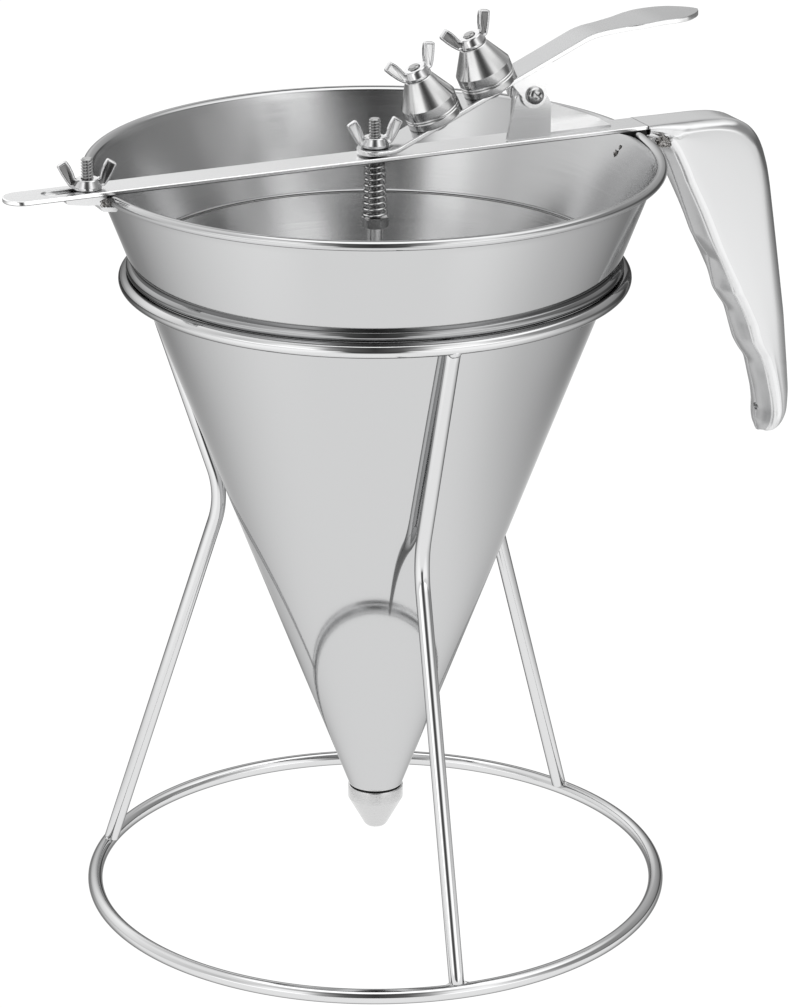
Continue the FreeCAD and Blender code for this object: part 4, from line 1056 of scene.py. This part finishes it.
# the ears take the painted-light copy of the lever steel
a = prism("ear_near", ear, -6.1, -5.1, M_SIDE_LIT, [(hx, hz, 1.58)])
b = prism("ear_far", ear, 5.1, 6.1, M_SIDE_LIT, [(hx, hz, 1.58)])
c = prism("ear_web", [under(47.1, -0.2), under(61.6, -0.2), under(61.6, 1.1), under(47.1, 1.1)], -5.6, 5.6, M_SIDE_LIT)
boolean(a, c, "UNION")
boolean(a, b, "UNION")
a.name = "lever_ears_sheet"
soften(a, 0.22, 3)
put(a, "lever", "bar_steel", "lever_ears")


def slope_matrix(x):
    return Matrix.Translation((x * MM, 0, (LZ + (x - LB) * math.tan(LA)) * MM)) @ Matrix.Rotation(-LA, 4, "Y")


STORE = (21.6, 41.3)
top = 15.6 + 4.1
parts = []
for k, x in enumerate(STORE):
    hd = turned("sh%d" % k, fillet([(0, -LT - 2.03), (2.6, -LT - 2.03), (4.4, -LT - 0.85), (4.4, -LT - 0.03), (0, -LT - 0.03)], [0, 1.0, 0.3, 0.15, 0], 4, False), M_SCREW, 72, False)
    v, f = screw_thread(-LT - 0.1, top, 2.0, 0.95, 0.5, 0.4, 0.0, 36, 8)
    th = make("st%d" % k, v, f, M_THREAD_SHADED, None, 50)
    for q in (hd, th):
        q.matrix_world = slope_matrix(x)
    bpy.context.view_layer.update()
    parts += [hd, th]
o = join("storage_screw_pair", *parts)
put(o, "lever", "screw_steel", "storage_screws")

sr, sc, slen, stip = 9.3, 7.0, 15.6, 4.7
sp = [(7.1, 0.03), (sr - 0.25, 0.03), (sr, 0.35), (sr, 2.35), (sr - 0.38, 2.7), (sr, 3.05), (sr, 3.3), (sr - 0.38, 3.62), (sr, 3.95),
      (sr, sc), (stip, slen - 0.3), (stip - 0.3, slen), (3.3, slen), (3.3, slen - 2.2), (7.1, sc - 0.6)]
sp = fillet(sp, [0.1, 0.15, 0.15, 0.06, 0.12, 0.06, 0.06, 0.12, 0.06, 0.3, 0.2, 0.1, 0.1, 0.1, 0.3], 3)
for k, x in enumerate(STORE):
    o = turned("spare_nozzle_%d_body" % (k + 1), sp, M_SPARE, 160)
    o.matrix_world = slope_matrix(x)
    put(o, "lever", "turned_steel", "spare_nozzle_%d" % (k + 1))

# ------------------------------------------------------------------ valve rod

body_rod = turned("rod_plain", fillet([(0, 30.6), (2.5, 30.6), (2.5, 233.8), (1.7, 233.8), (0, 233.8)], [0, 0.2, 0.35, 0, 0], 3, False), M_ROD, 64, False)
v, f = screw_thread(233.6, 270.2, 2.0, 0.95, 0.5, 0.55, 0.0, 40, 10)
thr = make("rod_thread", v, f, M_THREAD_SHADED, None, 50)
o = join("valve_rod", body_rod, thr)
put(o, "plunger", "screw_steel", "plunger_rod")
o = turned("valve_plug", fillet([(0, 24.57), (2.6, 24.57), (3.2, 25.57), (3.2, 28.6), (2.5, 30.58), (0, 30.58)], [0, 0.1, 0.2, 0.3, 0.2, 0], 3, False), M_TURN, 96, False)
put(o, "plunger", "turned_steel", "valve_tip")
sn = hex_nut("spring_nut_hex", 8.0, 3.4, 2.02, M_HEX)
sn.data.transform(Matrix.Translation((0, 0, 233.82 * MM)) @ Matrix.Rotation(rad(32), 4, "Z"))
put(sn, "plunger", "screw_steel", "spring_nut")

# conical spring: closed end coils, open coils between
Z0, Z1 = 237.75, 256.27
path, rr = [], []
turns = 9.9
steps = int(turns * 40)
for i in range(steps + 1):
    q = i / steps
    tn = turns * q
    # pitch is small in the first and last three quarters of a turn
    e = 0.75
    if tn < e:
        h = 0.55 * tn * tn / (2 * e) * 2
    elif tn > turns - e:
        b_ = turns - tn
        h = None
    else:
        h = 0.55 * e + (tn - e) * 1.0
    if h is None:
        h = (0.55 * e + (turns - 2 * e)) + 0.55 * e - 0.55 * b_ * b_ / (2 * e) * 2
    tot = 0.55 * e * 2 + (turns - 2 * e)
    z = Z0 + (Z1 - Z0) * h / tot
    R = 3.75 + (2.85 - 3.75) * q
    a = 2 * pi * tn + 0.6
    path.append((R * math.cos(a), R * math.sin(a), z))
v, f = sweep(path, 0.45, 14, 0.08)
spring = make("return_spring_coil", v, f, M_SPRING, None, 60)
put(spring, "funnel", "spring_steel", "return_spring")
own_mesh(spring)

# ------------------------------------------------------------------ wing nuts

boss = turned("wn_boss", fillet([(0, 0.0), (4.3, 0.0), (4.65, 0.3), (4.6, 1.1), (3.8, 3.0), (3.5, 3.4), (0, 3.4)], [0, 0.15, 0.2, 0.3, 0.4, 0.2, 0], 4, False), [M_WING, M_SUNK_LIT], 72, False)
wing = [(2.4, 0.75), (5.5, 0.7), (6.75, 2.3), (8.2, 4.75), (9.7, 7.75), (6.6, 9.6), (5.25, 7.5), (4.35, 5.4), (3.85, 3.6), (2.4, 3.0)]
wing = fillet(wing, [0, 0.5, 2.5, 2.5, 0.75, 0.75, 2.5, 2.5, 0.5, 0], 4)


def inset(pts, d):
    """Outline drawn in by a distance, corner by corner."""
    out = []
    n = len(pts)
    for i in range(n):
        a, b, c = Vector(pts[i - 1]), Vector(pts[i]), Vector(pts[(i + 1) % n])
        u, v = (b - a).normalized(), (c - b).normalized()
        n1, n2 = Vector((-u.y, u.x)), Vector((-v.y, v.x))
        h = n1 + n2
        h = h / max(h.length_squared / 2, 0.6)
        out.append((b.x + h.x * d, b.y + h.y * d))
    return out


def cast_wing(name, sign):
    """One wing: a raised rim round a sunk flat on both faces, a little thinner at the tip."""
    rows = [(0.86, 0.46), (0.74, 0.40), (0.62, 0.10), (0.50, 0.0), (0.34, 0.0), (0.16, 0.07), (0.04, 0.22), (0.0, 0.42)]
    loops = []
    for side, seq in ((-1, rows), (1, rows[::-1])):
        for d, y in seq:
            loops.append([(sign * px, side * ((1.12 - 0.022 * px) - y), pz) for px, pz in inset(wing, d)])
    v, f = loft(loops)
    n = len(wing)
    fm = [1 if i // n in (0, len(loops) - 2) or i >= n * (len(loops) - 1) else 0 for i in range(len(f))]
    return make(name, v, f, [M_WING, M_SUNK_LIT], fm, 50)


boolean(boss, cast_wing("wn_a", 1), "UNION")
boolean(boss, cast_wing("wn_b", -1), "UNION")
v, f, s = spin([(0, -1), (2.08, -1), (2.08, 5), (0, 5)], 48, False)
boolean(boss, make("tool", v, f, M_WING))
recrisp(boss, 42)
boss.name = "clamp_wing_nut_cast"
NUT = boss.data
# each nut's sunk flats take the painted-light or painted-shade copy, by where the nut sits
for nm, mw, bd, node_name, sunk in (
        ("rod_wing_nut_cast", Matrix.Translation((0, 0, 260.75 * MM)) @ Matrix.Rotation(rad(-4), 4, "Z"), "rod_nut", "rod_wing_nut", M_SUNK_LIT),
        ("spare_wing_nut_1_cast", slope_matrix(STORE[0]) @ Matrix.Translation((0, 0, 15.65 * MM)), "spare_nut_1", "spare_wing_nut_1", M_SUNK_LIT),
        ("spare_wing_nut_2_cast", slope_matrix(STORE[1]) @ Matrix.Translation((0, 0, 15.65 * MM)), "spare_nut_2", "spare_wing_nut_2", M_SUNK_SHADED)):
    me = NUT.copy()
    me.transform(mw)
    me.materials[1] = sunk
    o = bpy.data.objects.new(nm, me)
    scene.collection.objects.link(o)
    put(o, bd, "wing_nut_steel", node_name)
NUT.transform(Matrix.Translation((-99.5 * MM, 0, 258.35 * MM)) @ Matrix.Rotation(rad(-12), 4, "Z"))
NUT.materials[1] = M_SUNK_SHADED
put(boss, "clamp_nut", "wing_nut_steel", "clamp_wing_nut")

# ------------------------------------------------------------------ camera

AZ_C, AZ_S = math.cos(rad(24.27)), math.sin(rad(24.27))


def from_cam(v):
    """Camera-aligned vector to the frame's axes."""
    return Vector((AZ_C * v[0] + AZ_S * v[1], -AZ_S * v[0] + AZ_C * v[1], v[2]))


e, roll, yaw = 0.35341461875165714, 0.0008520628705475358, 0.004851354539237385
fwd = Vector((math.sin(yaw) * math.cos(e), math.cos(yaw) * math.cos(e), -math.sin(e)))
right = Vector((math.cos(yaw), -math.sin(yaw), 0))
up = right.cross(fwd)
r2 = right * math.cos(roll) + up * math.sin(roll)
u2 = up * math.cos(roll) - right * math.sin(roll)
cam = bpy.data.cameras.new("camera")
cam.lens = 151.21
cam.sensor_fit = "VERTICAL"
cam.sensor_height = 36.0
cam.sensor_width = 36.0
cam.clip_start, cam.clip_end = 0.01, 50.0
co = bpy.data.objects.new("camera", cam)
scene.collection.objects.link(co)
cols = [from_cam(r2), from_cam(u2), from_cam(-fwd)]
loc = from_cam((0, -1.329037, 0.627359))
co.matrix_world = Matrix(((cols[0].x, cols[1].x, cols[2].x, loc.x), (cols[0].y, cols[1].y, cols[2].y, loc.y),
                          (cols[0].z, cols[1].z, cols[2].z, loc.z), (0, 0, 0, 1)))
scene.camera = co

# ------------------------------------------------------------------ studio

CAMDIR = from_cam((0, -1, 0))
RIGHT = from_cam((1, 0, 0))
w = bpy.data.worlds.new("studio")
scene.world = w
t = Tree(w)
tc = t.add("ShaderNodeTexCoord")
sep = t.add("ShaderNodeSeparateXYZ")
t.link(tc.outputs["Generated"], sep.inputs[0])
dx, dy, dz = sep.outputs
ahead = t.math("ADD", t.math("MULTIPLY", dx, CAMDIR.x), t.math("MULTIPLY", dy, CAMDIR.y))
aside = t.math("ADD", t.math("MULTIPLY", dx, RIGHT.x), t.math("MULTIPLY", dy, RIGHT.y))
turn = t.math("MULTIPLY_ADD", t.math("ARCTAN2", aside, ahead), 1 / (2 * pi), 0.5)
# the room round the table: panels beside the camera, a dark gap behind it, a pale back wall
ROOM = [(-180, 1.0), (-172, 1.22), (-156, 1.40), (-138, 1.25), (-120, 1.08), (-88, 0.88), (-64, 0.72), (-52, 0.90), (-40, 1.30), (-29, 1.25), (-21, 0.45),
        (-12, 0.14), (0, 0.06), (12, 0.14), (21, 0.48), (31, 1.25), (45, 1.35), (58, 0.75), (78, 0.34), (110, 0.32), (140, 0.48), (165, 0.70), (176, 0.82), (180, 1.0)]
LOWER = [(-180, 0.6), (-172, 0.8), (-156, 1.0), (-138, 1.0), (-120, 0.90), (-88, 0.80), (-72, 0.9), (-60, 1.6), (-27, 1.7), (-20, 0.45), (-12, 0.14), (0, 0.06),
         (12, 0.14), (20, 0.48), (27, 1.7), (58, 1.6), (70, 0.75), (84, 0.34), (100, 0.16), (164, 0.15), (172, 0.4), (180, 0.6)]
HIGH = [(-180, 0.08), (-168, 0.12), (-155, 0.8), (-120, 1.1), (-60, 0.95), (-30, 0.5), (-20, 0.15), (0, 0.05), (20, 0.15), (30, 0.6), (56, 1.35), (90, 1.6), (120, 1.2),
        (155, 0.8), (168, 0.15), (180, 0.08)]


def round_room(rows):
    cr = t.add("ShaderNodeValToRGB")
    cr.color_ramp.interpolation = "LINEAR"
    while len(cr.color_ramp.elements) < len(rows):
        cr.color_ramp.elements.new(0.5)
    for el, (deg, v) in zip(cr.color_ramp.elements, rows):
        el.position = deg / 360.0 + 0.5
        el.color = (v / 2, v / 2, v / 2, 1.0)
    t.link(turn, cr.inputs["Fac"])
    return t.math("MULTIPLY", cr.outputs["Color"], 2.0)


def between(a, b, f):
    return t.math("ADD", t.math("MULTIPLY", a, t.math("SUBTRACT", 1.0, f)), t.math("MULTIPLY", b, f))


room = between(round_room(LOWER), round_room(ROOM), t.ramp(dz, math.sin(rad(3)), math.sin(rad(14)), 0.0, 1.0))
room = between(room, round_room(HIGH), t.ramp(dz, math.sin(rad(34)), math.sin(rad(46)), 0.0, 1.0))
over = t.ramp(dz, math.sin(rad(60)), math.sin(rad(68)), 0.0, 1.0)
strength = t.math("ADD", t.math("MULTIPLY", room, t.math("SUBTRACT", 1.0, over)), t.math("MULTIPLY", over, 1.70))
lp = t.add("ShaderNodeLightPath")
seen = t.add("ShaderNodeMix", data_type="FLOAT")
t.link(lp.outputs["Is Camera Ray"], seen.inputs["Factor"])
t.link(strength, seen.inputs["A"])
seen.inputs["B"].default_value = 1.05
bg = t.add("ShaderNodeBackground")
bg.inputs["Color"].default_value = (1, 1, 1, 1)
t.link(seen.outputs["Result"], bg.inputs["Strength"])
wo = t.add("ShaderNodeOutputWorld")
t.link(bg.outputs[0], wo.inputs["Surface"])

fm_ = bpy.data.materials.new("floor_white")
t = Tree(fm_)
tc = t.add("ShaderNodeTexCoord")
sep = t.add("ShaderNodeSeparateXYZ")
t.link(tc.outputs["Object"], sep.inputs[0])
fx, fy, fz = sep.outputs
# a lit table: brightest in front of the object, falling off to both sides and behind
half = t.math("MULTIPLY_ADD", t.math("MAXIMUM", fy, -0.1), 0.095, 0.135)
away = t.math("SUBTRACT", t.math("ABSOLUTE", fx), half)
out_side = t.ramp(away, -0.03, 0.12, 0.0, 1.0)
side = t.math("ADD", t.ramp(fy, -0.20, 0.30, 1.22, 0.60, False), t.ramp(fy, -0.45, -0.15, 0.08, 0.0))
wide = t.math("ABSOLUTE", fx)
rightward = t.math("MULTIPLY", t.ramp(fy, -0.25, 0.0, 0.0, 1.0), t.ramp(fx, -0.10, 0.20, 0.0, 0.20))
side = t.math("MULTIPLY", side, t.math("SUBTRACT", 1.0, rightward))
side = t.math("MULTIPLY", side, t.ramp(wide, 0.45, 1.2, 1.0, 0.75))
glow = t.math("ADD", t.math("MULTIPLY", side, out_side), t.math("MULTIPLY", t.math("SUBTRACT", 1.0, out_side), 1.10))
glow = t.math("MULTIPLY", glow, t.ramp(fy, 0.25, 0.80, 1.0, 0.45))
# painted shadow of the object on the table behind it, darkening the table's glow
table_shadow = t.math("MULTIPLY", t.ramp(wide, 0.06, 0.11, 0.55, 0.0), t.ramp(fy, 0.08, 0.16, 0.0, 1.0))
glow = t.math("MULTIPLY", glow, t.math("SUBTRACT", 1.0, table_shadow))
# the dark end of the table towards the camera
near = t.math("MULTIPLY", t.ramp(t.math("MULTIPLY_ADD", fy, 0.25, wide), -0.10, 0.10, 0.94, 0.0), t.ramp(fy, -0.66, -0.38, 1.0, 0.0))
glow = t.math("MULTIPLY", glow, t.math("SUBTRACT", 1.0, near))
lp = t.add("ShaderNodeLightPath")
seen = t.add("ShaderNodeMix", data_type="FLOAT")
t.link(lp.outputs["Is Camera Ray"], seen.inputs["Factor"])
t.link(glow, seen.inputs["A"])
seen.inputs["B"].default_value = 1.05
em = t.add("ShaderNodeEmission")
em.inputs["Color"].default_value = (1, 1, 1, 1)
t.link(seen.outputs["Result"], em.inputs["Strength"])
mo = t.add("ShaderNodeOutputMaterial")
t.link(em.outputs[0], mo.inputs["Surface"])
bm = bmesh.new()
bmesh.ops.create_grid(bm, x_segments=1, y_segments=1, size=7.0)
me = bpy.data.meshes.new("floor")
bm.to_mesh(me)
bm.free()
me.materials.append(fm_)
floor = bpy.data.objects.new("floor", me)
scene.collection.objects.link(floor)
floor.matrix_world = Matrix.Translation((0, 0, -0.0002)) @ Matrix.Rotation(-rad(24.27), 4, "Z")


def softbox(name, where, size, level, aim=(0, 0, 0.15)):
    """A soft rectangular lamp of an even brightness, placed in camera-aligned metres."""
    l = bpy.data.lights.new(name, "AREA")
    l.shape = "RECTANGLE"
    l.size, l.size_y = size
    l.energy = level * pi * size[0] * size[1]
    ob = bpy.data.objects.new(name, l)
    scene.collection.objects.link(ob)
    p = from_cam(where)
    ob.location = p
    ob.rotation_mode = "QUATERNION"
    ob.rotation_quaternion = (Vector(aim) - p).to_track_quat("-Z", "Y")
    ob.visible_glossy = False
    return ob


softbox("top_box", (0.0, 0.1, 1.9), (1.7, 1.7), 1.2)
softbox("left_box", (-1.0, -1.4, 0.9), (0.7, 1.3), 1.2)

scene.view_settings.view_transform = "Standard"
scene.view_settings.look = "None"
scene.view_settings.exposure = 0.0
scene.view_settings.gamma = 1.0
